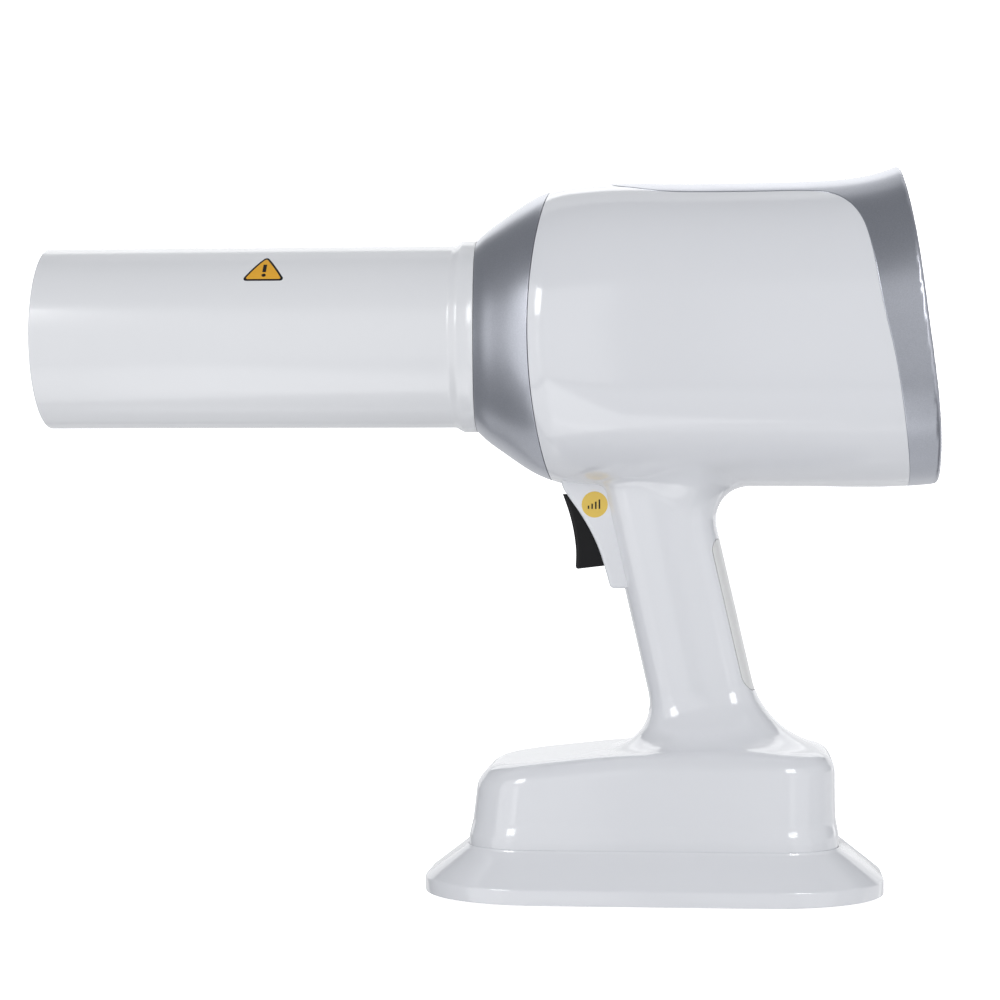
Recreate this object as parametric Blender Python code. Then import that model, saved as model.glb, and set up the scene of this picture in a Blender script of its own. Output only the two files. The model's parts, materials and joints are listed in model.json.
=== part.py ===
"""A hand-held intraoral X-ray unit standing on its charging stand.

Every piece is its own solid: the clamshell housing, the silver collar and rear
bezel, the beam cone, the generator inside, the trigger group, the battery base
and the stand that the handset lifts off. Lengths below are in millimetres and
are turned into metres when a mesh is made. +Z is up and the beam leaves
towards -X; the origin is the middle of the stand's underside.
"""

import math

import bmesh
import bpy
from mathutils import Matrix, Vector

MM = 0.001
GAP = 0.3            # between pieces that touch
WALL = 2.5           # moulded housing walls

# Body of the handset, a near-round drum along X.
AXIS_Z = 200.4       # height of the beam's axis
SEAM_X = -40.5       # silver collar meets the white housing
BODY_BOTTOM = 145.7
BODY_TOP = 255.6
BODY_HALF_WIDTH = 53.5
REAR_X = 95.9        # rear face at mid height
REAR_TILT = math.atan(0.125)
HOOD_TOP = 261.0

# Beam cone and collar.
CONE_TIP_X = -222.7
CONE_RADIUS = 33.1
CONE_WALL = 2.2
LINER_WALL = 0.8
RING_RADIUS = 34.8
RING_X = -63.9

# Grip, a slanted tube between the drum and the battery base.
GRIP_HALF_WIDTH = 17.5

# Battery base of the handset.
BASE_BOTTOM = 18.8
BASE_FRONT_X = -65.0
BASE_REAR_X = 65.2
BASE_HALF_WIDTH = 41.0
BASE_CORNER = 22.5

# Charging stand.
STAND_HALF_LENGTH = 81.8
STAND_HALF_WIDTH = 53.4
STAND_CORNER = 42.0
STAND_TOP = 18.5
STAND_EDGE_TOP = 7.0
STAND_EDGE_BOTTOM = 1.2
STAND_DRAW_IN = 15.2  # from the edge to the top of the skirt
POCKET_FLOOR = 11.0

# Trigger.
TRIGGER_PIVOT = (-19.0, 138.5)
LEVER_PIVOT = (-6.4, 127.5)
SPRING_Z = 132.5

TAU = 2.0 * math.pi


# ---------------------------------------------------------------- helpers

def clear_scene():
    for item in list(bpy.data.objects):
        bpy.data.objects.remove(item, do_unlink=True)


def material(name, colour, roughness, metallic=0.0):
    made = bpy.data.materials.get(name) or bpy.data.materials.new(name)
    made.use_nodes = True
    shader = made.node_tree.nodes["Principled BSDF"]
    shader.inputs["Base Color"].default_value = (*colour, 1.0)
    shader.inputs["Roughness"].default_value = roughness
    shader.inputs["Metallic"].default_value = metallic
    made.diffuse_color = (*colour, 1.0)
    return made


def white_plastic():
    return material("white_plastic", (0.86, 0.87, 0.9), 0.2)


def silver_paint():
    return material("silver_paint", (0.55, 0.57, 0.61), 0.32, 0.8)


def black_plastic():
    return material("black_plastic", (0.02, 0.02, 0.022), 0.25)


def steel():
    return material("steel", (0.62, 0.62, 0.64), 0.3, 1.0)


def aluminium():
    return material("aluminium", (0.75, 0.76, 0.78), 0.35, 1.0)


def lead():
    return material("lead", (0.25, 0.26, 0.28), 0.6, 1.0)


def circuit_board():
    return material("circuit_board", (0.02, 0.16, 0.07), 0.45)


def contact_gold():
    return material("contact_gold", (0.85, 0.62, 0.25), 0.25, 1.0)


def finish(name, bm, look, origin=(0.0, 0.0, 0.0), smooth=35.0, helper=False):
    """The mesh, given in millimetres, as an object whose origin is at origin."""
    bmesh.ops.recalc_face_normals(bm, faces=bm.faces)
    bmesh.ops.translate(bm, verts=bm.verts, vec=-Vector(origin))
    bmesh.ops.scale(bm, verts=bm.verts, vec=(MM, MM, MM))
    mesh = bpy.data.meshes.new(name)
    bm.to_mesh(mesh)
    bm.free()
    mesh.shade_smooth()
    mesh.set_sharp_from_angle(angle=math.radians(smooth))
    made = bpy.data.objects.new(name, mesh)
    made.location = Vector(origin) * MM
    bpy.context.scene.collection.objects.link(made)
    if look:
        mesh.materials.append(look)
    if helper:
        made.hide_render = True
        made.display_type = "WIRE"
    return made


def boolean(target, other, operation):
    step = target.modifiers.new(operation.lower(), "BOOLEAN")
    step.operation = operation
    step.object = other
    step.solver = "EXACT"


def loft(rings, closed=False):
    """A surface through rings of equally many points, capped unless it closes."""
    bm = bmesh.new()
    rows = [[bm.verts.new(point) for point in ring] for ring in rings]
    pairs = list(zip(rows, rows[1:]))
    if closed:
        pairs.append((rows[-1], rows[0]))
    count = len(rows[0])
    for low, high in pairs:
        for i in range(count):
            j = (i + 1) % count
            bm.faces.new((low[i], low[j], high[j], high[i]))
    if not closed:
        bm.faces.new(rows[0])
        bm.faces.new(rows[-1])
    return bm


def superellipse(half_a, half_b, power, count):
    """Points (a, b) round a superellipse, evenly spread by angle."""
    points = []
    for i in range(count):
        turn = TAU * (i + 0.5) / count
        c, s = math.cos(turn), math.sin(turn)
        points.append((half_a * math.copysign(abs(c) ** (2 / power), c),
                       half_b * math.copysign(abs(s) ** (2 / power), s)))
    return points


def rounded_rectangle(x0, x1, half_width, radius, per_corner=6):
    """Points (x, y) round a rectangle whose corners are arcs."""
    points = []
    corners = ((x1 - radius, half_width - radius, 0), (x0 + radius, half_width - radius, 1),
               (x0 + radius, radius - half_width, 2), (x1 - radius, radius - half_width, 3))
    for cx, cy, quarter in corners:
        for i in range(per_corner + 1):
            turn = (quarter + i / per_corner) * TAU / 4
            points.append((cx + radius * math.cos(turn), cy + radius * math.sin(turn)))
    return points


def box(x0, x1, y0, y1, z0, z1):
    bm = bmesh.new()
    bmesh.ops.create_cube(bm, size=1.0)
    for vert in bm.verts:
        vert.co = Vector(((x0 + x1) / 2 + vert.co.x * (x1 - x0),
                          (y0 + y1) / 2 + vert.co.y * (y1 - y0),
                          (z0 + z1) / 2 + vert.co.z * (z1 - z0)))
    return bm


def prism(outline, y0, y1):
    """An outline of (x, z) points, extruded across the object."""
    return loft([[(x, y, z) for x, z in outline] for y in (y0, y1)])


def rod(start, end, radius, count=16):
    """A straight cylinder between two points."""
    start, end = Vector(start), Vector(end)
    turn = (end - start).to_track_quat("Z", "Y").to_matrix()
    rings = []
    for centre in (start, end):
        rings.append([centre + turn @ Vector((radius * math.cos(TAU * i / count),
                                              radius * math.sin(TAU * i / count), 0.0))
                      for i in range(count)])
    return loft(rings)


def turned(profile, centre, axis="X", count=32, closed=False):
    """A profile of (along, radius) points, turned about an axis through centre."""
    rings = []
    for along, radius in profile:
        ring = []
        for i in range(count):
            a = radius * math.cos(TAU * i / count)
            b = radius * math.sin(TAU * i / count)
            offset = (along, a, b) if axis == "X" else (a, b, along)
            ring.append(Vector(centre) + Vector(offset))
        rings.append(ring)
    return loft(rings, closed)


# ---------------------------------------------------------------- the drum

def drum_ring(x, bottom, top, half_width, power, tilt=0.0, inset=0.0, count=48):
    """One cross-section of the drum; tilt leans its top forwards."""
    centre = (bottom + top) / 2
    ring = []
    for y, z in superellipse(half_width - inset, (top - bottom) / 2 - inset, power, count):
        ring.append((x - tilt * z, y, centre + z))
    return ring


def drum(inset=0.0, front=SEAM_X, rear_extra=0.0):
    """The drum from the collar's seam to the leaning rear face."""
    slope = math.tan(REAR_TILT)
    stations = [
        (front, 148.2, 251.4, 51.6, 2.0, 0.0),
        (-34.0, 146.9, 252.9, 52.6, 2.0, 0.0),
        (-27.0, 146.1, 254.2, 53.1, 2.05, 0.0),
        (-15.0, BODY_BOTTOM, 255.2, BODY_HALF_WIDTH, 2.1, 0.0),
        (25.0, BODY_BOTTOM, BODY_TOP, BODY_HALF_WIDTH, 2.15, 0.0),
        (60.0, BODY_BOTTOM, BODY_TOP + 0.2, BODY_HALF_WIDTH, 2.15, slope / 2),
        (80.0, BODY_BOTTOM + 0.2, 257.5, BODY_HALF_WIDTH, 2.15, slope),
        (89.0, BODY_BOTTOM + 0.6, 259.4, 53.2, 2.15, slope),
        (REAR_X + rear_extra, BODY_BOTTOM + 1.6, HOOD_TOP, 52.2, 2.15, slope),
    ]
    return loft([drum_ring(x, bottom, top, half_width, power, tilt, inset)
                 for x, bottom, top, half_width, power, tilt in stations])


def silver_outline(grow=0.0):
    """Side outline of the silver zone: a crown tongue that widens into the bezel."""
    edge = [(-17.0, 256.5), (-14.3, 253.6), (-7.3, 252.2), (0.0, 250.7), (7.0, 249.9), (58.0, 249.4),
            (64.7, 247.9), (69.3, 244.1), (72.9, 239.0), (75.0, 232.3), (77.2, 222.3), (79.2, 210.0),
            (83.1, 193.4), (86.7, 173.4), (89.4, 153.5), (90.4, 140.0)]
    lowered = [(x - grow, z - grow) for x, z in edge]
    return lowered + [(130.0, 140.0 - grow), (130.0, 275.0), (-17.0 - grow, 275.0)]


# ---------------------------------------------------------------- grip and battery base

def grip(inset=0.0):
    """The grip as level slices: (z, front x, rear x, half-width)."""
    slices = [
        (44.0, -22.0, 64.0, 36.0), (50.5, -18.0, 60.5, 33.0), (53.0, -13.5, 57.0, 29.0),
        (57.0, -8.6, 50.0, 23.5), (62.5, -4.6, 43.8, 20.2), (70.0, -2.6, 38.4, 18.2),
        (90.0, -6.7, 33.1, GRIP_HALF_WIDTH), (112.0, -11.2, 27.7, GRIP_HALF_WIDTH),
        (130.0, -14.4, 23.6, GRIP_HALF_WIDTH), (138.0, -15.6, 24.6, 18.2),
        (143.0, -17.4, 29.0, 20.0), (147.0, -20.5, 34.5, 23.0), (158.0, -22.0, 36.0, 25.0),
    ]
    rings = []
    for z, front, rear, half_width in slices:
        middle = (front + rear) / 2
        outline = superellipse((rear - front) / 2 - inset, half_width - inset, 2.35, 32)
        rings.append([(middle + x, y, z) for x, y in outline])
    return loft(rings)


def base_top(x):
    """Height of the battery base's top face, which falls away towards the front."""
    return 52.0 - 0.115 * max(0.0, -12.0 - x)


def battery_base(inset=0.0, bottom=BASE_BOTTOM):
    """Drafted walls, a rim step low down and a rounded top edge."""
    levels = [(-1.1, bottom), (-1.1, 22.0), (-0.3, 26.0), (0.6, 40.0)]
    fillet, steps = 7.5, 4
    for i in range(1, steps + 1):
        turn = i / steps * TAU / 4
        levels.append((0.6 + fillet * (1 - math.cos(turn)), 44.5 + fillet * math.sin(turn)))
    levels += [(22.0, 52.0), (34.0, 52.0)]
    rings = []
    for draw_in, z in levels:
        front_draft = max(0.0, z - 22.0) * 0.13 if z < 44.0 else 2.9
        total = draw_in + inset
        outline = rounded_rectangle(BASE_FRONT_X + total + front_draft, BASE_REAR_X - total,
                                    BASE_HALF_WIDTH - total, max(4.0, BASE_CORNER - total))
        drop = (z - 26.0) / 26.0 if z > 26.0 else 0.0
        sunk = inset if z > 30.0 else 0.0
        rings.append([(x, y, z - sunk - drop * (52.0 - base_top(x))) for x, y in outline])
    return loft(rings)


# ---------------------------------------------------------------- housing halves

SHELL_SCREWS = ((-30.0, 157.5, 26.5), (42.0, 157.5, 29.0), (13.5, 88.0, 15.6), (44.0, 33.0, 38.0))


def housing():
    """Drum, grip and battery base as one hollow helper, before it is split."""
    body = finish("housing_form", drum(), white_plastic(), helper=True)
    boolean(body, finish("grip_form", grip(), None, helper=True), "UNION")
    boolean(body, finish("base_form", battery_base(), None, helper=True), "UNION")
    for name, hollow in (
        ("drum_hollow", drum(WALL, front=SEAM_X - 8.0, rear_extra=12.0)),
        ("grip_hollow", grip(WALL)),
        ("base_hollow", battery_base(WALL, bottom=BASE_BOTTOM - 6.0)),
        ("silver_zone_cut", prism(silver_outline(GAP), -80.0, 80.0)),
        ("trigger_window", box(-30.0, -9.0, -7.0, 7.0, 112.0, 143.5)),
        ("bezel_seat", prism(bezel_outline(GAP), -12.2, 12.2)),
        ("strap_seat", strap_form(GAP)),
    ):
        boolean(body, finish(name, hollow, None, helper=True), "DIFFERENCE")
    for i, (x, z, reach) in enumerate(SHELL_SCREWS):
        post = finish(f"screw_post_{i + 1}", rod((x, -reach, z), (x, reach, z), 3.6, 12), None, helper=True)
        boolean(body, post, "UNION")
        shank = rod((x, -14.0, z), (x, 60.0, z), 1.8, 12)
        boolean(body, finish(f"screw_hole_{i + 1}", shank, None, helper=True), "DIFFERENCE")
        sink = rod((x, 12.0, z), (x, 60.0, z), 2.9, 12)
        boolean(body, finish(f"screw_sink_{i + 1}", sink, None, helper=True), "DIFFERENCE")
    return body


def shells():
    """The left and right housing halves, parted on the middle plane."""
    whole = housing()
    for name, y0, y1 in (("shell_left", -70.0, -GAP / 2), ("shell_right", GAP / 2, 70.0)):
        half = finish(name, box(-80.0, 140.0, y0, y1, 0.0, 280.0), white_plastic())
        boolean(half, whole, "INTERSECT")


def shell_screws():
    for i, (x, z, _) in enumerate(SHELL_SCREWS):
        made = finish(f"shell_screw_{i + 1}", rod((x, -12.5, z), (x, 13.0, z), 1.4, 12), steel())
        head = finish(f"screw_head_{i + 1}", rod((x, 12.4, z), (x, 14.6, z), 2.5, 12), None, helper=True)
        boolean(made, head, "UNION")


# ---------------------------------------------------------------- collar and cone

def front_collar():
    """The silver nose that flares from the cone's ring to the drum."""
    profile = [(SEAM_X - GAP, 51.5), (-49.5, 46.2), (-55.4, 42.0), (-60.5, 37.8), (RING_X, 34.5),
               (RING_X, 24.0), (-60.5, 24.0), (-60.5, 34.8), (-55.0, 39.0), (-49.5, 43.2),
               (SEAM_X - GAP, 48.6)]
    finish("front_collar", turned(profile, (0.0, 0.0, AXIS_Z - 0.4), count=48, closed=True), silver_paint())


def cone_tube():
    inner = CONE_RADIUS - CONE_WALL
    profile = [(CONE_TIP_X, CONE_RADIUS - 1.0), (CONE_TIP_X + 1.0, CONE_RADIUS), (-76.0, CONE_RADIUS),
               (-73.0, CONE_RADIUS + 0.4), (-70.0, RING_RADIUS), (RING_X - GAP, RING_RADIUS),
               (RING_X - GAP, inner), (CONE_TIP_X + 1.0, inner), (CONE_TIP_X, inner + 1.0)]
    finish("cone_tube", turned(profile, (0.0, 0.0, AXIS_Z), count=48, closed=True), white_plastic())


def cone_lead_liner():
    outer = CONE_RADIUS - CONE_WALL - GAP
    profile = [(CONE_TIP_X + 4.0, outer), (RING_X - 2.6, outer),
               (RING_X - 2.6, outer - LINER_WALL), (CONE_TIP_X + 4.0, outer - LINER_WALL)]
    finish("cone_lead_liner", turned(profile, (0.0, 0.0, AXIS_Z), closed=True), lead())


def collimator():
    profile = [(RING_X - 2.2, 30.3), (RING_X - 0.4, 30.3), (RING_X - 0.4, 9.0), (RING_X - 2.2, 9.0)]
    finish("collimator_disc", turned(profile, (0.0, 0.0, AXIS_Z), count=24, closed=True), lead())
    disc = rod((RING_X + 1.0, 0.0, AXIS_Z), (RING_X + 2.6, 0.0, AXIS_Z), 16.0, 24)
    finish("beam_filter", disc, aluminium())
    profile = [(RING_X + 0.3, 23.6), (RING_X + 14.0, 23.6), (RING_X + 14.0, 16.4), (RING_X + 0.3, 16.4)]
    finish("filter_holder", turned(profile, (0.0, 0.0, AXIS_Z), count=24, closed=True), black_plastic())


# ---------------------------------------------------------------- generator

TANK = (-37.0, 27.0, 35.0, 167.0, 235.0)


def tank():
    """The oil tank that holds the tube and transformer, with its rear cover."""
    x0, x1, half, z0, z1 = TANK
    case = finish("tank_housing", box(x0, x1, -half, half, z0, z1), aluminium())
    inside = box(x0 + 3.0, x1 + 5.0, 3.0 - half, half - 3.0, z0 + 3.0, z1 - 3.0)
    boolean(case, finish("tank_hollow", inside, None, helper=True), "DIFFERENCE")
    port = rod((x0 - 3.0, 0.0, AXIS_Z), (x0 + 6.0, 0.0, AXIS_Z), 12.0, 24)
    boolean(case, finish("tank_port", port, None, helper=True), "DIFFERENCE")
    cover = box(x1 + GAP, x1 + 3.3, -half, half, z0, z1)
    finish("tank_cover", cover, aluminium())
    profile = [(x0 - 9.0, 15.5), (x0 - 0.4, 15.5), (x0 - 0.4, 12.5), (x0 - 9.0, 12.5)]
    finish("port_lead_ring", turned(profile, (0.0, 0.0, AXIS_Z), count=24, closed=True), lead())


def xray_tube():
    """Glass envelope open at the anode's end, with the anode and cathode in it."""
    x = -18.0
    profile = [(-28.0, 4.0), (-26.0, 9.0), (-20.0, 13.0), (16.0, 13.0), (24.0, 8.0), (28.0, 8.0),
               (28.0, 6.6), (23.2, 6.6), (15.4, 11.6), (-19.4, 11.6), (-25.0, 7.8), (-27.0, 4.0)]
    finish("tube_envelope", turned(profile, (x, 0.0, AXIS_Z), "Z", 24, closed=True),
           material("clear_glass", (0.8, 0.88, 0.9), 0.05))
    anode = finish("anode", rod((x, 0.0, AXIS_Z - 2.0), (x, 0.0, AXIS_Z + 30.5), 6.0, 16),
                   material("copper", (0.72, 0.36, 0.2), 0.35, 1.0))
    face = box(-10.0, 10.0, -9.0, 9.0, -8.0, 0.0)
    bmesh.ops.rotate(face, verts=face.verts, cent=(0, 0, 0), matrix=Matrix.Rotation(math.radians(-20), 3, "Y"))
    bmesh.ops.translate(face, verts=face.verts, vec=(x, 0.0, AXIS_Z))
    boolean(anode, finish("anode_face_cut", face, None, helper=True), "DIFFERENCE")
    cup = [(-26.6, 3.4), (-17.0, 3.4), (-17.0, 6.0), (-9.0, 6.0), (-9.0, 0.01), (-26.6, 0.01)]
    finish("cathode", turned(cup, (x, 0.0, AXIS_Z), "Z", 16, closed=True), steel())


def transformer():
    x0, x1 = 1.5, 20.5
    core = finish("transformer_core", box(x0, x1, -29.0, 29.0, 172.0, 229.0), steel())
    for side in (-1, 1):
        window = box(x0 - 2, x1 + 2, min(side * 8.0, side * 20.0), max(side * 8.0, side * 20.0), 180.5, 220.5)
        boolean(core, finish(f"core_window_{side + 2}", window, None, helper=True), "DIFFERENCE")
    winding = finish("transformer_winding", box(x0 - 4.5, x1 + 4.5, -19.4, 19.4, 182.0, 219.0),
                     material("enamelled_wire", (0.45, 0.2, 0.08), 0.4, 0.5))
    leg = box(x0 - GAP, x1 + GAP, -8.4, 8.4, 170.0, 232.0)
    boolean(winding, finish("winding_bore", leg, None, helper=True), "DIFFERENCE")


def boards():
    finish("driver_board", box(36.0, 37.6, -33.0, 33.0, 168.0, 234.0), circuit_board())
    finish("buzzer", rod((37.9, 18.0, 182.0), (44.0, 18.0, 182.0), 6.0, 20), black_plastic())


# ---------------------------------------------------------------- rear end

def panel_point(across, up, out):
    """A point in the frame of the leaning rear face: across, up it, and out of it."""
    c, s = math.cos(REAR_TILT), math.sin(REAR_TILT)
    return Vector((REAR_X + out * c - up * s, across, 204.3 + up * c + out * s))


def panel_block(across, up, half_w, half_h, radius, inner, outer, per_corner=3):
    """A rounded rectangle on the rear face, between two depths."""
    outline = rounded_rectangle(-half_w, half_w, half_h, radius, per_corner)
    return loft([[panel_point(across + a, up + b, out) for a, b in outline] for out in (inner, outer)])


KEYS = {
    "key_power": (0.0, -38.5, 6.0, 4.0),
    "key_up": (0.0, -12.5, 6.0, 4.2),
    "key_down": (0.0, -27.0, 6.0, 4.2),
    "key_mode": (-17.5, -19.8, 6.0, 5.0),
    "key_patient": (17.5, -19.8, 6.0, 5.0),
}
SCREEN = (0.0, 17.0, 27.0, 19.0)


def rear_bezel():
    bezel = finish("rear_bezel", drum(), silver_paint())
    zone = finish("silver_zone", prism(silver_outline(), -80.0, 80.0), None, helper=True)
    hollow = finish("bezel_hollow", drum(2.8, front=SEAM_X - 8.0, rear_extra=12.0), None, helper=True)
    boolean(bezel, zone, "INTERSECT")
    boolean(bezel, hollow, "DIFFERENCE")


def control_panel():
    """The dark fascia inside the bezel, with a screen opening and key holes."""
    rings = []
    for out in (-5.2, -2.4):
        outline = superellipse(48.7, 53.4, 2.15, 40)
        rings.append([panel_point(a, b, out) for a, b in outline])
    panel = finish("control_panel", loft(rings), material("fascia_grey", (0.09, 0.1, 0.12), 0.3))
    across, up, half_w, half_h = SCREEN
    hole = panel_block(across, up, half_w, half_h, 3.0, -8.0, 0.0)
    boolean(panel, finish("screen_hole", hole, None, helper=True), "DIFFERENCE")
    for name, (across, up, half_w, half_h) in KEYS.items():
        hole = panel_block(across, up, half_w + 0.35, half_h + 0.35, 3.0, -8.0, 0.0)
        boolean(panel, finish(name + "_hole", hole, None, helper=True), "DIFFERENCE")


def screen():
    across, up, half_w, half_h = SCREEN
    window = panel_block(across, up, half_w - GAP, half_h - GAP, 2.8, -4.4, -2.9)
    finish("display_window", window, material("screen_glass", (0.02, 0.03, 0.05), 0.06))
    module = panel_block(across, up, half_w - 1.0, half_h - 1.0, 2.0, -9.2, -5.6)
    finish("display_module", module, material("display_module", (0.12, 0.2, 0.3), 0.3))


def control_board():
    board = finish("control_board", panel_block(0.0, -2.0, 30.0, 42.0, 3.0, -12.6, -11.0), circuit_board())
    for name, (across, up, _, _) in KEYS.items():
        switch = panel_block(across, up, 2.0, 2.0, 0.4, -11.4, -9.0, 1)
        boolean(board, finish(name + "_switch", switch, None, helper=True), "UNION")


def keys():
    rubber = material("key_rubber", (0.75, 0.77, 0.8), 0.5)
    for name, (across, up, half_w, half_h) in KEYS.items():
        depth = 7.2
        rings = []
        for out, inset in ((-depth, 0.0), (-2.1, 0.0), (-1.5, 0.5)):
            outline = rounded_rectangle(inset - half_w, half_w - inset, half_h - inset, 2.7 - inset, 3)
            rings.append([panel_point(across + a, up + b, out) for a, b in outline])
        finish(name, loft(rings), rubber, origin=panel_point(across, up, -depth))


# ---------------------------------------------------------------- trigger group

def bezel_outline(grow=0.0):
    """Side outline of the raised plate round the trigger, from its upper tip down."""
    front = [(-29.7, 141.8), (-25.9, 135.6), (-21.3, 128.0), (-17.7, 117.5), (-15.7, 109.9)]
    rear = [(-10.6, 109.5), (-11.1, 114.0), (-11.8, 121.4), (-13.8, 130.0), (-15.6, 138.0), (-16.0, 143.0)]
    return [(x - grow, z) for x, z in front] + [(x + grow, z) for x, z in rear] + [(-29.7 - grow, 143.0)]


def trigger_bezel():
    plate = finish("trigger_bezel", prism(bezel_outline(), -11.6, 11.6), white_plastic())
    slot = finish("trigger_slot", box(-34.0, -8.0, -6.7, 6.7, 112.3, 150.0), None, helper=True)
    boolean(plate, slot, "DIFFERENCE")
    x, z = TRIGGER_PIVOT
    hole = finish("pin_seat", rod((x, -10.5, z), (x, 10.5, z), 1.6, 12), None, helper=True)
    boolean(plate, hole, "DIFFERENCE")


def trigger():
    """The black trigger, with its origin on the pin and a nib that works the switch."""
    outline = [(-32.0, 141.6), (-30.4, 136.3), (-29.2, 131.0), (-28.5, 126.0), (-28.1, 122.0),
               (-28.3, 118.0), (-27.4, 116.2), (-19.6, 116.9), (-18.2, 119.0), (-11.45, 119.2),
               (-10.85, 121.6), (-17.2, 123.5), (-15.9, 134.0), (-14.6, 139.0), (-16.0, 142.2)]
    x, z = TRIGGER_PIVOT
    made = finish("trigger", prism(outline, -6.2, 6.2), black_plastic(), origin=(x, 0.0, z))
    boolean(made, finish("trigger_bore", rod((x, -9.0, z), (x, 9.0, z), 1.6, 12), None, helper=True), "DIFFERENCE")
    cup = rod((-14.0, 0.0, SPRING_Z), (-21.0, 0.0, SPRING_Z), 3.0, 12)
    boolean(made, finish("spring_cup", cup, None, helper=True), "DIFFERENCE")
    finish("trigger_pin", rod((x, -10.2, z), (x, 10.2, z), 1.25, 12), steel())


def trigger_spring():
    """Compression spring between the trigger's cup and the switch's face."""
    turns, wire, radius = 4, 0.3, 2.1
    start, end = -20.3, -5.7
    steps = turns * 10
    curve = bpy.data.curves.new("trigger_spring", "CURVE")
    curve.dimensions = "3D"
    curve.bevel_depth = wire * MM
    curve.bevel_resolution = 1
    curve.use_fill_caps = True
    line = curve.splines.new("POLY")
    line.points.add(steps)
    for i, point in enumerate(line.points):
        turn = TAU * turns * i / steps
        place = Vector((start + (end - start) * i / steps, radius * math.cos(turn),
                        SPRING_Z + radius * math.sin(turn)))
        point.co = (*(place * MM), 1.0)
    curve.materials.append(steel())
    bpy.context.scene.collection.objects.link(bpy.data.objects.new("trigger_spring", curve))


def microswitch():
    finish("microswitch", box(-5.0, 1.5, -3.2, 3.2, 112.0, 136.0), black_plastic())
    x, z = LEVER_PIVOT
    strip = [(x - 0.4, z + 0.8), (x + 0.4, z + 0.8), (x + 0.4, z - 0.4), (-10.2, 119.6), (-11.0, 119.9)]
    finish("microswitch_lever", prism(strip, -1.9, 1.9), steel(), origin=(x, 0.0, z))


def strap_form(grow=0.0):
    """A soft strip let into the back of the grip."""
    rings = []
    for z, rear in ((72.0, 37.9), (90.0, 33.1), (112.0, 27.7), (127.0, 24.3)):
        outer, inner = rear + 0.3 + grow, rear - 1.6 - grow
        half = 8.0 + grow
        lift = grow if z > 100.0 else -grow
        rings.append([(inner, -half, z + lift), (outer - 1.7, -half, z + lift), (outer, -3.5, z + lift),
                      (outer, 3.5, z + lift), (outer - 1.7, half, z + lift), (inner, half, z + lift)])
    return loft(rings)


def grip_strap():
    finish("grip_strap", strap_form(), white_plastic())


def grip_harness():
    """The cable loom from the battery board up through the grip to the driver board."""
    route = [Vector(p) for p in ((30.0, 0.0, 49.0), (25.0, 0.0, 70.0), (19.0, 0.0, 100.0),
                                 (13.0, 0.0, 125.0), (14.0, 0.0, 145.0), (30.0, 0.0, 158.0), (34.0, 0.0, 163.5))]
    finish("grip_harness", tube_along(route, 2.2), black_plastic())


def tube_along(route, radius, count=8):
    """A round tube through the route's points, each ring square to its direction."""
    rings = []
    for i, place in enumerate(route):
        ahead = route[min(i + 1, len(route) - 1)] - route[max(i - 1, 0)]
        side = Vector((0.0, 1.0, 0.0))
        lift = ahead.cross(side).normalized()
        rings.append([place + radius * (math.cos(TAU * k / count) * side + math.sin(TAU * k / count) * lift)
                      for k in range(count)])
    return loft(rings)


# ---------------------------------------------------------------- battery base inside

CELL_X = (-38.0, -18.0, 2.0, 22.0)
CELL_Z = 34.6


def battery():
    """Four round cells lying across the base, in a tray."""
    tray = finish("battery_tray", box(-50.0, 34.0, -31.0, 31.0, 22.6, 31.0), black_plastic())
    for i, x in enumerate(CELL_X):
        cradle = rod((x, -34.0, CELL_Z), (x, 34.0, CELL_Z), 9.4, 20)
        boolean(tray, finish(f"cradle_{i + 1}", cradle, None, helper=True), "DIFFERENCE")
        cell = rod((x, -32.5, CELL_Z), (x, 32.5, CELL_Z), 9.0, 20)
        finish(f"battery_cell_{i + 1}", cell, material("cell_wrap", (0.05, 0.2, 0.5), 0.35))
    finish("battery_board", box(38.5, 56.0, -26.0, 26.0, 23.0, 24.6), circuit_board())


def handset_base():
    """The plate that closes the base, with a boss that drops into the stand's pocket."""
    inset = WALL + GAP
    outline = rounded_rectangle(BASE_FRONT_X + inset, BASE_REAR_X - inset, BASE_HALF_WIDTH - inset,
                                BASE_CORNER - inset)
    disc = loft([[(x, y, z) for x, y in outline] for z in (19.2, 21.8)])
    plate = finish("handset_base_plate", disc, black_plastic())
    outline = rounded_rectangle(-54.0, 54.0, 29.5, 10.0)
    boss = loft([[(x, y, z) for x, y in outline] for z in (12.0, 20.0)])
    boolean(plate, finish("boss", boss, None, helper=True), "UNION")
    for i, y in enumerate((-9.0, 9.0)):
        seat = box(-8.3, 8.3, y - 3.3, y + 3.3, 10.0, 14.3)
        boolean(plate, finish(f"contact_seat_{i + 1}", seat, None, helper=True), "DIFFERENCE")
        finish(f"handset_contact_{i + 1}", box(-8.0, 8.0, y - 3.0, y + 3.0, 12.2, 14.0), contact_gold())


# ---------------------------------------------------------------- charging stand

def stand_form(inset=0.0, low=STAND_EDGE_BOTTOM, high=STAND_TOP):
    """The flared foot: an upright edge, then a skirt that rises to the handset's rim."""
    levels = [(0.0, low), (0.0, STAND_EDGE_TOP - 1.2), (0.6, STAND_EDGE_TOP), (7.5, 12.8), (STAND_DRAW_IN, high)]
    rings = []
    for draw_in, z in levels:
        share = draw_in / STAND_DRAW_IN
        half_width = STAND_HALF_WIDTH + (BASE_HALF_WIDTH + 1.4 - STAND_HALF_WIDTH) * share
        half_length = STAND_HALF_LENGTH - draw_in
        radius = STAND_CORNER + (BASE_CORNER + 1.4 - STAND_CORNER) * share
        outline = rounded_rectangle(inset - half_length, half_length - inset, half_width - inset, radius - inset)
        rings.append([(x, y, z) for x, y in outline])
    return loft(rings)


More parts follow.
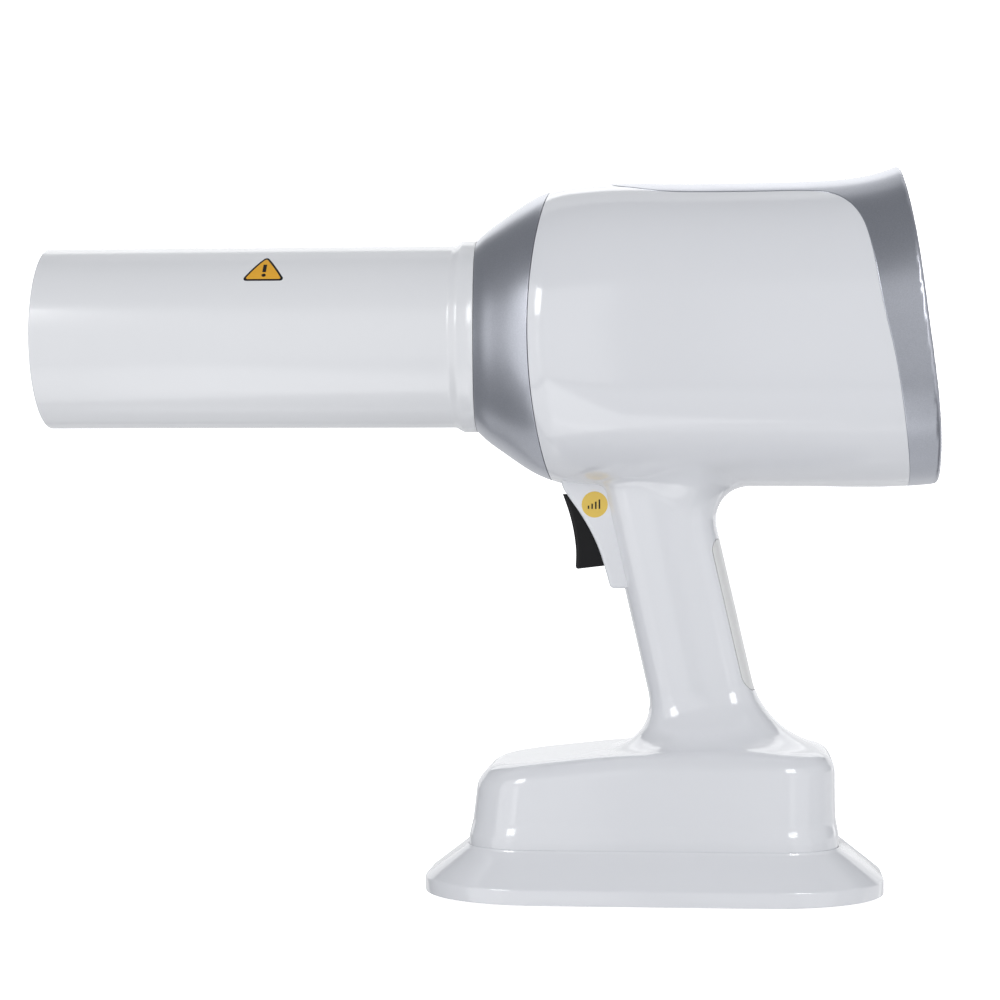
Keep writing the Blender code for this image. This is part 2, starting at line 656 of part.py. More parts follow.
def stand_shell():
    """The stand's cover, hollow below, with the pocket that the handset drops into."""
    shell = finish("stand_shell", stand_form(), white_plastic())
    hollow = finish("stand_hollow", stand_form(WALL, low=-4.0, high=STAND_TOP - WALL), None, helper=True)
    wall = rounded_rectangle(-58.0, 58.0, 33.5, 12.0)
    well = finish("pocket_wall", loft([[(x, y, z) for x, y in wall] for z in (8.4, 17.6)]), None, helper=True)
    boolean(shell, hollow, "DIFFERENCE")
    boolean(shell, well, "UNION")
    outline = rounded_rectangle(-55.0, 55.0, 30.5, 10.5)
    pocket = loft([[(x, y, z) for x, y in outline] for z in (POCKET_FLOOR, 30.0)])
    boolean(shell, finish("pocket", pocket, None, helper=True), "DIFFERENCE")
    port = box(76.0, 86.0, -4.9, 4.9, 2.6, 6.4)
    boolean(shell, finish("inlet_window", port, None, helper=True), "DIFFERENCE")
    for i, y in enumerate((-9.0, 9.0)):
        hole = rod((0.0, y, 6.0), (0.0, y, 14.0), 1.6, 12)
        boolean(shell, finish(f"contact_hole_{i + 1}", hole, None, helper=True), "DIFFERENCE")
        contact = rod((0.0, y, 6.9), (0.0, y, 11.8), 1.2, 12)
        finish(f"stand_contact_{i + 1}", contact, contact_gold())


def stand_inside():
    outline = rounded_rectangle(-78.8, 78.8, 50.4, 39.0)
    plate = loft([[(x, y, z) for x, y in outline] for z in (1.3, 2.6)])
    finish("stand_bottom_plate", plate, black_plastic())
    outline = rounded_rectangle(-72.0, 72.0, 44.0, 34.0)
    pad = loft([[(x, y, z) for x, y in outline] for z in (0.0, 1.0)])
    finish("anti_slip_pad", pad, material("pad_rubber", (0.05, 0.05, 0.055), 0.85))
    finish("stand_board", box(-30.0, 74.0, -18.0, 18.0, 5.0, 6.5), circuit_board())
    inlet = finish("charge_inlet", box(74.4, 81.4, -4.6, 4.6, 2.9, 6.1), steel())
    mouth = box(76.0, 86.0, -4.0, 4.0, 3.3, 5.7)
    boolean(inlet, finish("inlet_mouth", mouth, None, helper=True), "DIFFERENCE")


def main():
    clear_scene()
    shells()
    shell_screws()
    front_collar()
    cone_tube()
    cone_lead_liner()
    collimator()
    tank()
    xray_tube()
    transformer()
    boards()
    rear_bezel()
    control_panel()
    screen()
    control_board()
    keys()
    trigger_bezel()
    trigger()
    trigger_spring()
    microswitch()
    grip_strap()
    grip_harness()
    battery()
    handset_base()
    stand_shell()
    stand_inside()


main()
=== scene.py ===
"""The looks of a hand-held intraoral X-ray unit on its charging stand.

The housing is one smooth field (drum, grip and battery base with filleted joins). It is meshed on a
grid, each vertex is moved exactly onto the surface, and the skin is cut along the real parting lines
into the left and right shells, the silver collar, the silver bezel and the grip strap. Lengths are in
millimetres until a mesh is made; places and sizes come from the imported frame.
"""

import itertools
import json
import math

import bmesh
import bpy
import numpy as np
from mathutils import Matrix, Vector

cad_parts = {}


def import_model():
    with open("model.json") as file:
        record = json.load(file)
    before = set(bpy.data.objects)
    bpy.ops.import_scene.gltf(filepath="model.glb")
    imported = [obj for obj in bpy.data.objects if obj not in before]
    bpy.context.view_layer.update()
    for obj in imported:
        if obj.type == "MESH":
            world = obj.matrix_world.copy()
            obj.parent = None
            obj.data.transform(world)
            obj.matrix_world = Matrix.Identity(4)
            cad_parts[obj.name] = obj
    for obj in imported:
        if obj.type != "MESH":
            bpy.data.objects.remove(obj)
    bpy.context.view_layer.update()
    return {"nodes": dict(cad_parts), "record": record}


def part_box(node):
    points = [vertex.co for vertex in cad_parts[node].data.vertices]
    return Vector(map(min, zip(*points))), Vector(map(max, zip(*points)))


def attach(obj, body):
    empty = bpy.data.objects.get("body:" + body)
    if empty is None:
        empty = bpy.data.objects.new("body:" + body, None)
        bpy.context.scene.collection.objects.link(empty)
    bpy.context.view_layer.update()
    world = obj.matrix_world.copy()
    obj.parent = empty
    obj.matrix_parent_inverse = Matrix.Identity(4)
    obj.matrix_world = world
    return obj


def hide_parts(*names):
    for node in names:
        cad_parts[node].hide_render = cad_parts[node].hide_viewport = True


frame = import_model()

MM = 0.001
TAU = 2.0 * math.pi


def corners(node):
    """A CAD node's lowest and highest corners, in millimetres."""
    low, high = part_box(node)
    return np.array(low) / MM, np.array(high) / MM


# ---------------- sizes, from the frame

cone_low, cone_high = corners("cone_tube")
shell_low = corners("shell_left")[0]
plate_high = corners("handset_base_plate")[1]
bezel_top = corners("rear_bezel")[1][2]
stand_low, stand_high = corners("stand_shell")
strap_low, strap_high = corners("grip_strap")

RING_STEP = 1.7      # how far the cone's ring stands proud of the cone
RING_BOW = 1.4       # how far the ring's end bows back at its sides
PLATE_INSET = 2.8    # from the base plate's edge out to the base's walls

AXIS_Z = (cone_low[2] + cone_high[2]) / 2
RING_RADIUS = (cone_high[1] - cone_low[1]) / 2
CONE_TIP, RING_END = cone_low[0], cone_high[0]
CONE_RADIUS = RING_RADIUS - RING_STEP
DRUM_HALF = -shell_low[1] - 0.2     # just inside the CAD's half width
BASE_FRONT, BASE_BOTTOM = shell_low[0], shell_low[2]
BASE_REAR = plate_high[0] + PLATE_INSET
BASE_HALF = plate_high[1] + PLATE_INSET
STAND_TOP = stand_high[2]

STEP = 1.4           # grid for the housing's skin
SKIN = 2.2           # thickness of the moulded skins
EDGE = 0.15          # rounding along every parting edge
CUT = EDGE + 0.1     # distance of a skin's cut from its parting line
HOLD = 0.12          # flat margin that keeps a face level beside its rounded edge
GRIP_HALF = 17.4     # half width of the grip
GUARD_HALF = 10.5    # outer faces of the trigger guard
SLANT = math.atan(0.125)            # lean of the rear face
PANEL_X, PANEL_Z = 95.9, 204.3      # middle of the rear face


# ---------------- curves and fields

def spline(knots):
    """A natural cubic spline through (place, value) knots, held level past its ends."""
    place, value = np.array(knots, float).T
    count, width = len(place), np.diff(place)
    matrix, right = np.eye(count), np.zeros(count)
    for i in range(1, count - 1):
        matrix[i, i - 1:i + 2] = width[i - 1], 2 * (width[i - 1] + width[i]), width[i]
        right[i] = 6 * ((value[i + 1] - value[i]) / width[i] - (value[i] - value[i - 1]) / width[i - 1])
    bend = np.linalg.solve(matrix, right)

    def at(query):
        query = np.clip(query, place[0], place[-1])
        i = np.clip(np.searchsorted(place, query) - 1, 0, count - 2)
        left, rest, w = place[i + 1] - query, query - place[i], width[i]
        cubic = (bend[i] * left ** 3 + bend[i + 1] * rest ** 3) / (6 * w)
        return (cubic + (value[i] / w - bend[i] * w / 6) * left
                + (value[i + 1] / w - bend[i + 1] * w / 6) * rest)
    return at


def ease(low, high, t):
    """Smooth step from 0 at low to 1 at high."""
    t = np.clip((t - low) / (high - low), 0.0, 1.0)
    return t * t * (3 - 2 * t)


def round_union(a, b, radius):
    """Two fields joined with a fillet."""
    bend = np.hypot(np.maximum(radius - a, 0), np.maximum(radius - b, 0))
    return np.maximum(radius, np.minimum(a, b)) - bend


def round_cut(a, b, radius):
    """What lies in both fields, with the edge between them rounded."""
    return -round_union(-a, -b, radius)


# the drum's radius upwards, downwards and sideways for places along its axis; the nose is round
NOSE = [(RING_END, RING_RADIUS - 0.3), (-60.5, 38.0), (-56.0, 41.3), (-49.0, 46.2), (-41.5, 50.6),
        (-38.0, 52.0)]
crown_height = spline(NOSE + [(-33.5, 53.2), (-26.0, 54.1), (-15.0, 54.7), (10.0, 54.5), (40.0, 54.7),
                              (62.0, 55.2), (74.6, 56.6), (80.6, 58.0), (86.8, 60.2), (92.0, 62.6)])
belly_depth = spline(NOSE + [(-33.5, 53.4), (-26.0, 54.3), (-12.0, 54.6), (60.0, 54.6), (90.0, 54.4),
                             (104.0, 53.2)])
flank_width = spline(NOSE + [(-33.5, 52.6), (-26.0, 53.0), (-12.0, DRUM_HALF), (60.0, DRUM_HALF),
                             (90.0, DRUM_HALF), (104.0, DRUM_HALF - 0.5)])
rear_face_x = spline([(140.0, 101.5), (161.0, 100.5), (200.0, 95.6), (230.0, 91.8), (262.0, 86.8)])


def true_size(a, half_a, b, half_b, power):
    """Distance to a superellipse with the given half sizes, true to first order."""
    a, b = np.abs(a) / half_a, np.abs(b) / half_b
    radius = np.maximum((a ** power + b ** power) ** (1 / power), 1e-6)
    slope = np.hypot((a / radius) ** (power - 1) / half_a, (b / radius) ** (power - 1) / half_b)
    return (radius - 1) / slope


def drum(x, y, z):
    """The body from the cone's ring to past the rear face: round in front, then slightly squared."""
    rise = z - AXIS_Z
    height = np.where(rise > 0, crown_height(x), belly_depth(x))
    return true_size(y, flank_width(x), rise, height, 2.0 + 0.15 * ease(-42.0, -10.0, x))


def grip_back(z):
    return 36.1 - 0.231 * (z - 72.5)


def grip(x, y, z):
    """The slanted grip with flat sides; it ends inside the drum."""
    front, back = -1.7 - 0.227 * (z - 69.7), grip_back(z)
    body = true_size(x - (front + back) / 2, (back - front) / 2, y, GRIP_HALF, 3.0)
    return np.maximum(body, z - AXIS_Z)


def base_top(x):
    """Height of the base's top face: level at the back, falling towards the front."""
    return 52.4 - 0.0575 * (np.hypot(x + 10.0, 8.0) - (x + 10.0))


def battery_base(x, y, z):
    """Drafted walls with round corners, a slightly wider rim low down and a soft top edge."""
    front_draft, side_draft, corner = 0.118, 0.02, 22.5
    rim = 0.95 * ease(28.5, 21.5, z)
    front = BASE_FRONT + 1.35 + front_draft * np.maximum(z - 21.0, 0) - 0.6 * rim
    back = BASE_REAR - 0.9 + rim
    side = BASE_HALF + rim - side_draft * np.maximum(z - 22.0, 0)
    qx = np.abs(x - (front + back) / 2) - (back - front) / 2 + corner
    qy = np.abs(y) - side + corner
    walls = np.hypot(np.maximum(qx, 0), np.maximum(qy, 0)) + np.minimum(np.maximum(qx, qy), 0) - corner
    return round_cut(walls, z - base_top(x), 7.5)


def house(x, y, z):
    """Drum, grip and base as one skin, with fillets that widen towards the back."""
    body = round_union(drum(x, y, z), grip(x, y, z), 3.0 + 12.5 * ease(-8.0, 18.0, x))
    return round_union(body, battery_base(x, y, z), 20.0 + 4.0 * ease(0.0, 40.0, x))


# ---------------- parting lines

def front_seam(p):
    """Positive behind the collar's bowed seam with the white shells, and everywhere below the drum."""
    return np.maximum(p[:, 0] + 42.5 - 5.0 * ((p[:, 2] - AXIS_Z) / 50.0) ** 2, 140.0 - p[:, 2])


SILVER_EDGE = [(-21.0, 262.0), (-17.6, 256.0), (-14.3, 253.6), (-7.3, 252.0), (0.0, 250.7), (7.0, 250.0),
               (20.0, 249.7), (40.0, 249.7), (56.0, 249.6), (64.7, 247.7), (70.0, 243.4), (73.4, 237.6),
               (75.5, 230.5), (77.3, 221.5), (79.3, 210.0), (83.1, 193.4), (86.8, 173.5), (89.4, 157.0),
               (90.5, 148.1), (90.6, 138.0)]


def edge_line():
    """The silver edge as a smooth line of points in the side view."""
    edge = np.array(SILVER_EDGE)
    run = np.concatenate([[0], np.cumsum(np.hypot(*np.diff(edge, axis=0).T))])
    along = np.linspace(0, run[-1], 160)
    return np.stack([spline(list(zip(run, edge[:, k])))(along) for k in (0, 1)], axis=1)


EDGE_LINE = edge_line()


def silver_side(p):
    """Distance in the side view from the silver edge, positive on the silver side."""
    start, step = EDGE_LINE[:-1], np.diff(EDGE_LINE, axis=0)
    best = np.full(len(p), np.inf)
    sign = np.ones(len(p))
    for a, d in zip(start, step):
        w = p[:, [0, 2]] - a
        t = np.clip((w @ d) / (d @ d), 0, 1)
        gap = np.hypot(*(w - t[:, None] * d).T)
        near = gap < best
        best[near] = gap[near]
        sign[near] = np.sign(d[0] * w[near, 1] - d[1] * w[near, 0])
    return best * sign


def rear_plane(x, z):
    """Distance past the leaning rear face; the factor is the cosine of its lean."""
    return (x - rear_face_x(z)) * 0.992


def strap_side(p):
    """Positive within the soft strip let into the back of the grip."""
    low, high = strap_low[2] + 1.0, strap_high[2]
    half_width, corner, deepest = 13.2, 5.0, 14.0
    lift = np.minimum(p[:, 2] - low, high - p[:, 2])
    a, b = corner - lift, corner - half_width + np.abs(p[:, 1])
    inside = corner - np.hypot(np.maximum(a, 0), np.maximum(b, 0)) - np.minimum(np.maximum(a, b), 0)
    return np.minimum(inside, deepest - grip_back(p[:, 2]) + p[:, 0])


# ---------------- meshing a field

def unit(vectors):
    return vectors / np.maximum(np.linalg.norm(vectors, axis=1), 1e-9)[:, None]


def steepness(field, p, reach=0.01):
    """The field's gradient at points."""
    columns = []
    for axis in range(3):
        shift = np.zeros(3)
        shift[axis] = reach
        columns.append((field(*(p + shift).T) - field(*(p - shift).T)) / (2 * reach))
    return np.stack(columns, axis=1)


def settle(field, p, rounds=6):
    """Points moved onto the surface."""
    for _ in range(rounds):
        slope = steepness(field, p)
        p = p - slope * (field(*p.T) / np.maximum((slope ** 2).sum(1), 1e-6))[:, None]
    return p


def surface_net(field, low, high, step):
    """Vertices and triangles of the field's zero surface within a box."""
    axes = [np.arange(a, b + step, step) for a, b in zip(low, high)]
    value = field(*np.meshgrid(*axes, indexing="ij"))
    inside = value < 0
    cells = [n - 1 for n in value.shape]
    filled = sum(inside[i:cells[0] + i, j:cells[1] + j, k:cells[2] + k].astype(int)
                 for i, j, k in itertools.product((0, 1), repeat=3))
    active = (filled > 0) & (filled < 8)
    number = np.full(active.shape, -1)
    number[active] = np.arange(active.sum())
    cell = np.stack(np.nonzero(active), axis=1)
    total, hits = np.zeros((len(cell), 3)), np.zeros(len(cell))
    for axis in range(3):
        for corner in itertools.product((0, 1), repeat=2):
            start, end = np.insert(corner, axis, 0), np.insert(corner, axis, 1)
            a, b = value[tuple((cell + start).T)], value[tuple((cell + end).T)]
            cross = (a < 0) != (b < 0)
            share = np.where(cross, a / np.where(cross, a - b, 1), 0)
            total += np.where(cross[:, None], start + share[:, None] * (end - start), 0)
            hits += cross
    points = np.array(low) + step * (cell + total / hits[:, None])
    faces = []
    for axis in range(3):
        one = [slice(1, -1)] * 3
        two = list(one)
        one[axis], two[axis] = slice(0, -1), slice(1, None)
        edge = np.stack(np.nonzero(inside[tuple(one)] != inside[tuple(two)]), axis=1)
        ring = np.stack([number[tuple((edge + np.insert(corner, axis, 0)).T)]
                         for corner in ((0, 0), (1, 0), (1, 1), (0, 1))], axis=1)
        faces += [ring[:, [0, 1, 2]], ring[:, [0, 2, 3]]]
    return settle(field, points), np.concatenate(faces)


def compact(points, faces):
    """Leaves out the points that no face uses."""
    used, index = np.unique(faces, return_inverse=True)
    return points[used], index.reshape(-1, 3)


def trim(field, points, faces, keep):
    """Cuts a skin along keep(points) = 0 and leaves the positive side."""
    side = keep(points)
    side[np.abs(side) < 1e-5] = 1e-5
    kept = side > 0
    count = kept[faces].sum(1)
    whole, mixed = faces[count == 3], faces[(count == 1) | (count == 2)]
    if not len(mixed):
        return compact(points, whole)
    flags = kept[mixed]
    lone = np.where(flags.sum(1) == 1, flags.argmax(1), (~flags).argmax(1))
    mixed = np.take_along_axis(mixed, (lone[:, None] + np.arange(3)) % 3, 1)
    ends = np.sort(np.concatenate([mixed[:, [0, 1]], mixed[:, [0, 2]]]), axis=1)
    pairs, index = np.unique(ends, axis=0, return_inverse=True)
    index = index.reshape(-1) + len(points)
    first, second = index[:len(mixed)], index[len(mixed):]
    a, b = pairs.T
    share = (side[a] / (side[a] - side[b]))[:, None]
    made = points[a] + share * (points[b] - points[a])
    for _ in range(4):
        made = settle(field, made, 2)
        normal = unit(steepness(field, made))
        turn = steepness(lambda x, y, z: keep(np.stack([x, y, z], axis=1)), made)
        turn -= normal * (turn * normal).sum(1)[:, None]
        move = keep(made) / np.maximum((turn ** 2).sum(1), 0.05)
        made = made - turn * np.clip(move, -0.5, 0.5)[:, None]
    alone = kept[mixed[:, 0]]
    one = np.stack([mixed[:, 0], first, second], axis=1)[alone]
    low = np.stack([first, mixed[:, 1], mixed[:, 2]], axis=1)[~alone]
    high = np.stack([first, mixed[:, 2], second], axis=1)[~alone]
    return compact(np.concatenate([points, made]), np.concatenate([whole, one, low, high]))


def facing(field, points, faces):
    """Unit normals from the field, and the faces turned to match them."""
    normal = unit(steepness(field, points))
    a, b, c = (points[faces[:, k]] for k in range(3))
    flat = np.cross(b - a, c - a)
    wrong = (flat * normal[faces].sum(1)).sum(1) < 0
    faces[wrong] = faces[wrong][:, ::-1]
    return normal, faces


def add_object(name, data):
    made = bpy.data.objects.new(name, data)
    bpy.context.scene.collection.objects.link(made)
    return made


def new_object(name, mesh, body, material, replaces):
    """A piece that rides on a body, stands for CAD nodes and has a material slot."""
    made = add_object(name, mesh)
    mesh.materials.clear()
    mesh.materials.append(material)
    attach(made, body)
    if replaces:
        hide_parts(*replaces)


def skin_mesh(name, field, points, faces, thickness=SKIN, edge=EDGE):
    """A closed moulding: the skin, its inside, and a rounded wall along every cut edge."""
    normal, faces = facing(field, points, faces)
    count = len(points)
    edges = np.concatenate([faces[:, [0, 1]], faces[:, [1, 2]], faces[:, [2, 0]]])
    keys = edges[:, 0] * count + edges[:, 1]
    rim = edges[~np.isin(keys, edges[:, 1] * count + edges[:, 0])]
    away = np.zeros_like(points)
    side = unit(np.cross(points[rim[:, 1]] - points[rim[:, 0]], normal[rim].sum(1)))
    np.add.at(away, rim[:, 0], side)
    np.add.at(away, rim[:, 1], side)
    away = unit(away - normal * (away * normal).sum(1)[:, None])
    places, normals = [points], [normal]
    for turn in (TAU / 8, TAU / 4):
        places.append(points + edge * (away * math.sin(turn) - normal * (1 - math.cos(turn))))
        normals.append(unit(away * math.sin(turn) + normal * math.cos(turn)))
    places.append(points - normal * thickness)
    normals.append(-normal)
    a, b = rim.T
    walls = []
    for row in range(3):
        top, low = row * count, (row + 1) * count
        walls.append(np.stack([b + top, a + top, a + low], axis=1))
        walls.append(np.stack([b + top, a + low, b + low], axis=1))
    triangles = np.concatenate([faces, faces[:, ::-1] + 3 * count] + walls)
    loops = np.concatenate(normals)[triangles].reshape(-1, 3)
    last = 3 * 2 * len(rim)
    loops[-last:] = np.concatenate([away[wall % count].reshape(-1, 3) for wall in walls[-2:]])
    places, triangles = compact(np.concatenate(places), triangles)
    mesh = bpy.data.meshes.new(name)
    mesh.from_pydata((places * MM).tolist(), [], triangles.tolist())
    mesh.shade_smooth()
    mesh.normals_split_custom_set(loops.tolist())
    mesh.update()
    return mesh


# ---------------- plain mesh helpers

def loft_mesh(name, rings, closed=False, caps=(True, True), sharp=32.0):
    """A surface through rings of equally many points, in millimetres."""
    count, rows = len(rings[0]), len(rings)
    points = np.concatenate([np.asarray(ring, float) for ring in rings])
    faces = []
    for r in range(rows if closed else rows - 1):
        s = (r + 1) % rows
        for i in range(count):
            j = (i + 1) % count
            faces.append((r * count + i, r * count + j, s * count + j, s * count + i))
    if not closed and caps[0]:
        faces.append(tuple(range(count))[::-1])
    if not closed and caps[1]:
        faces.append(tuple(range((rows - 1) * count, rows * count)))
    return solid_mesh(name, points, faces, sharp)


def solid_mesh(name, points, faces, sharp=32.0):
    """A mesh whose faces are turned outwards and shaded smooth up to an angle."""
    mesh = bpy.data.meshes.new(name)
    mesh.from_pydata((np.asarray(points) * MM).tolist(), [], [tuple(f) for f in faces])
    work = bmesh.new()
    work.from_mesh(mesh)
    bmesh.ops.remove_doubles(work, verts=work.verts, dist=1e-7)
    bmesh.ops.recalc_face_normals(work, faces=work.faces)
    work.to_mesh(mesh)
    work.free()
    return crease(mesh, sharp)


def crease(mesh, sharp=32.0):
    """Smooth shading up to an angle, with flat many-sided faces kept flat."""
    mesh.shade_smooth()
    mesh.set_sharp_from_angle(angle=math.radians(sharp))
    flat = {key for face in mesh.polygons if face.loop_total > 4 for key in face.edge_keys}
    for edge in mesh.edges:
        edge.use_edge_sharp = edge.use_edge_sharp or edge.key in flat
    return mesh


def arc(centre_a, centre_b, radius, start, end, steps):
    """Points (a, b) along an arc, angles in degrees."""
    turns = np.radians(np.linspace(start, end, steps + 1))
    return [(centre_a + radius * math.cos(t), centre_b + radius * math.sin(t)) for t in turns]


def inset_line(outline, inset):
    """The outline moved inwards; points that a sharp corner swallows join the corner's own point."""
    after = np.roll(outline, -1, axis=0)
    step = after - outline
    turn = np.sign(np.sum(outline[:, 0] * after[:, 1] - after[:, 0] * outline[:, 1]))
    out = turn * unit(np.stack([step[:, 1], -step[:, 0]], axis=1))
    before = np.roll(out, 1, axis=0)
    line = outline - inset * (out + before) / np.maximum(1 + (out * before).sum(1), 0.3)[:, None]
    if inset > 0:
        away = line[:, None] - outline
        along = np.clip((away * step).sum(2) / np.maximum((step ** 2).sum(1), 1e-9), 0, 1)
        gap = np.linalg.norm(away - along[..., None] * step, axis=2).min(1)
        lost = gap < 0.97 * inset
        kept = line[~lost]
        line[lost] = kept[np.linalg.norm(line[lost][:, None] - kept, axis=2).argmin(1)]
    return line


def slab(name, outline, low, high, radius, place, under=0.0):
    """An outline raised from low to high; place(a, b, height) puts it in space.

    radius rounds the edge at high, and under the edge at low.
    """
    outline = np.array(outline, float)
    turns = [i / 4 * TAU / 4 for i in range(5)]
    rows = [(low, 0.0)]
    if under:
        rows = [(low, under + HOLD)]
        rows += [(low + under * (1 - math.cos(t)), under * (1 - math.sin(t))) for t in turns]
    if radius:
        rows += [(high - radius * (1 - math.sin(t)), radius * (1 - math.cos(t))) for t in turns]
        rows.append((high, radius + HOLD))
    else:
        rows.append((high, 0.0))
    rings = []
    for height, inset in rows:
        rings.append([place(a, b, height) for a, b in inset_line(outline, inset)])
    return loft_mesh(name, rings, sharp=40.0)


def patch(name, rows, low, high, place):
    """A thin sheet through rows of (a, b) points, bent by place and closed at its edges."""
    across, count = len(rows[0]), len(rows) * len(rows[0])
    points = [place(a, b, height) for height in (high, low) for row in rows for a, b in row]
    faces = []
    for i in range(len(rows) - 1):
        for j in range(across - 1):
            k = i * across + j
            faces.append((k, k + 1, k + across + 1, k + across))
            faces.append((k + count, k + across + count, k + across + 1 + count, k + 1 + count))
    edge = list(range(across)) + [i * across + across - 1 for i in range(1, len(rows))]
    edge += [count - 1 - j for j in range(1, across)] + [i * across for i in range(len(rows) - 2, 0, -1)]
    for a, b in zip(edge, edge[1:] + edge[:1]):
        faces.append((a, b, b + count, a + count))
    return solid_mesh(name, points, faces)


def carve(mesh, cutters):
    """The mesh with the cutters' volumes taken away."""
    piece = add_object("carved", mesh)
    tools = [add_object("cutter", cutter) for cutter in cutters]
    for tool in tools:
        step = piece.modifiers.new("cut", "BOOLEAN")
        step.object, step.operation, step.solver = tool, "DIFFERENCE", "EXACT"
    carved = bpy.data.meshes.new_from_object(piece.evaluated_get(bpy.context.evaluated_depsgraph_get()))
    for item in [piece] + tools:
        bpy.data.objects.remove(item, do_unlink=True)
    return crease(carved)


def turned_rings(profile, count=160):
    """Rings about the beam's axis for (x, radius) points."""
    turns = np.arange(count) * TAU / count
    return [[(x, radius * math.cos(t), AXIS_Z + radius * math.sin(t)) for t in turns]
            for x, radius in profile]


# ---------------- materials

def plug(tree, node, inputs):
    """Sets a node's inputs: a socket is linked, anything else is a fixed value."""
    for name, value in inputs.items():
        if isinstance(value, bpy.types.NodeSocket):
            tree.links.new(value, node.inputs[name])
        else:
            node.inputs[name].default_value = value
    return node


def add_node(tree, kind, inputs):
    return plug(tree, tree.nodes.new(f"ShaderNode{kind}"), inputs)


def shader(name, colour, roughness, metallic=0.0, coat=0.0, coat_roughness=0.08):
    """A new material, its node tree and its surface node."""
    made = bpy.data.materials.new(name)
    made.use_nodes = True
    tree = made.node_tree
    node = plug(tree, tree.nodes["Principled BSDF"], {
        "Base Color": (*colour, 1.0), "Roughness": roughness, "Metallic": metallic,
        "Coat Weight": coat, "Coat Roughness": coat_roughness})
    return made, tree, node


def object_place(tree):
    return add_node(tree, "TexCoord", {}).outputs["Object"]


def noise(tree, scale, detail=3.0):
    """Soft noise fixed to the object, with about scale patches to a metre."""
    inputs = {"Scale": scale, "Detail": detail, "Vector": object_place(tree)}
    return add_node(tree, "TexNoise", inputs).outputs["Fac"]


def spread(tree, factor, low, high):
    """Maps a 0 to 1 factor onto low to high."""
    return add_node(tree, "MapRange", {"To Min": low, "To Max": high, "Value": factor}).outputs["Result"]


def blend_colours(tree, factor, first, second):
    """The first colour where the factor is 0, the second where it is 1."""
    made = tree.nodes.new("ShaderNodeMix")
    made.data_type = "RGBA"
    plug(tree, made, {0: factor, 6: (*first, 1.0), 7: (*second, 1.0)})   # the colour mix's own sockets
    return made.outputs[2]


def bump(tree, height, strength, distance):
    inputs = {"Height": height, "Strength": strength, "Distance": distance}
    return add_node(tree, "Bump", inputs).outputs["Normal"]


def moulded(name, colour, roughness, coat=0.0, texture=900.0, depth=0.00001, tint=0.02):
    """Moulded plastic: faint flow in the colour, uneven gloss and a fine skin texture."""
    made, tree, node = shader(name, colour, roughness, 0.0, coat)
    darker = tuple(c * (1 - tint) for c in colour)
    plug(tree, node, {
        "Base Color": blend_colours(tree, noise(tree, 14.0), darker, colour),
        "Roughness": spread(tree, noise(tree, 60.0, 4.0), roughness * 0.85, roughness * 1.2),
        "Normal": bump(tree, noise(tree, texture, 2.0), 0.15, depth)})
    return made


def silver_paint():
    """Satin metallic lacquer with fine flakes under a thin clear coat."""
    made, tree, node = shader("silver_lacquer", (0.47, 0.485, 0.53), 0.3, 0.93, 0.2, 0.1)
    flakes = add_node(tree, "TexVoronoi", {"Scale": 4200.0, "Vector": object_place(tree)})
    shine = add_node(tree, "SeparateColor", {"Color": flakes.outputs["Color"]}).outputs
    plug(tree, node, {
        "Base Color": blend_colours(tree, shine["Red"], (0.44, 0.455, 0.50), (0.50, 0.515, 0.565)),
        "Roughness": spread(tree, noise(tree, 80.0), 0.27, 0.33),
        "Normal": bump(tree, shine["Green"], 0.08, 0.00001)})
    return made


def brushed(name, colour, roughness=0.3):
    """Worked metal: streaks along one direction and slight tarnish."""
    made, tree, node = shader(name, colour, roughness, 1.0)
    stretch = add_node(tree, "Mapping", {"Scale": (40.0, 900.0, 900.0), "Vector": object_place(tree)})
    streaks = add_node(tree, "TexNoise", {"Scale": 1.0, "Vector": stretch.outputs["Vector"]}).outputs["Fac"]
    dull = tuple(c * 0.75 for c in colour)
    plug(tree, node, {
        "Base Color": blend_colours(tree, noise(tree, 120.0), dull, colour),
        "Roughness": spread(tree, streaks, roughness * 0.7, roughness * 1.4),
        "Normal": bump(tree, streaks, 0.2, 0.00002)})
    return made


def clear_glass(name, colour):
    made, tree, node = shader(name, colour, 0.05)
    plug(tree, node, {"Alpha": 0.35, "Roughness": spread(tree, noise(tree, 90.0), 0.03, 0.09)})
    return made


def lit_marks():
    made, tree, node = shader("screen_glow", (0.3, 0.75, 0.9), 0.3)
    colour = blend_colours(tree, noise(tree, 250.0), (0.25, 0.7, 0.85), (0.4, 0.85, 1.0))
    plug(tree, node, {"Base Color": colour, "Emission Color": colour, "Emission Strength": 1.2})
    return made


WHITE = moulded("white_gloss", (0.80, 0.81, 0.84), 0.12, 0.5)
CONE_WHITE = moulded("cone_gloss", (0.83, 0.838, 0.858), 0.2, 0.25)
BLACK_GLOSS = moulded("black_gloss", (0.008, 0.008, 0.009), 0.25, 0.0, 900.0, 0.000003)
BLACK_TEXTURED = moulded("black_textured", (0.03, 0.03, 0.032), 0.5, 0.0, 1400.0, 0.00006, 0.2)
STRAP = moulded("strap_soft", (0.82, 0.82, 0.81), 0.3, 0.0, 1800.0, 0.00004, 0.05)
KEY_SOFT = moulded("key_soft", (0.62, 0.64, 0.68), 0.5, 0.0, 1600.0, 0.00004, 0.05)
FASCIA = moulded("fascia_film", (0.045, 0.05, 0.06), 0.18, 0.4, 1500.0, 0.00001, 0.15)
SCREEN = moulded("screen_glass", (0.01, 0.014, 0.02), 0.05, 0.5, 300.0, 0.000002, 0.1)
YELLOW = moulded("label_yellow", (0.80, 0.55, 0.08), 0.4, 0.1, 600.0, 0.00001, 0.08)
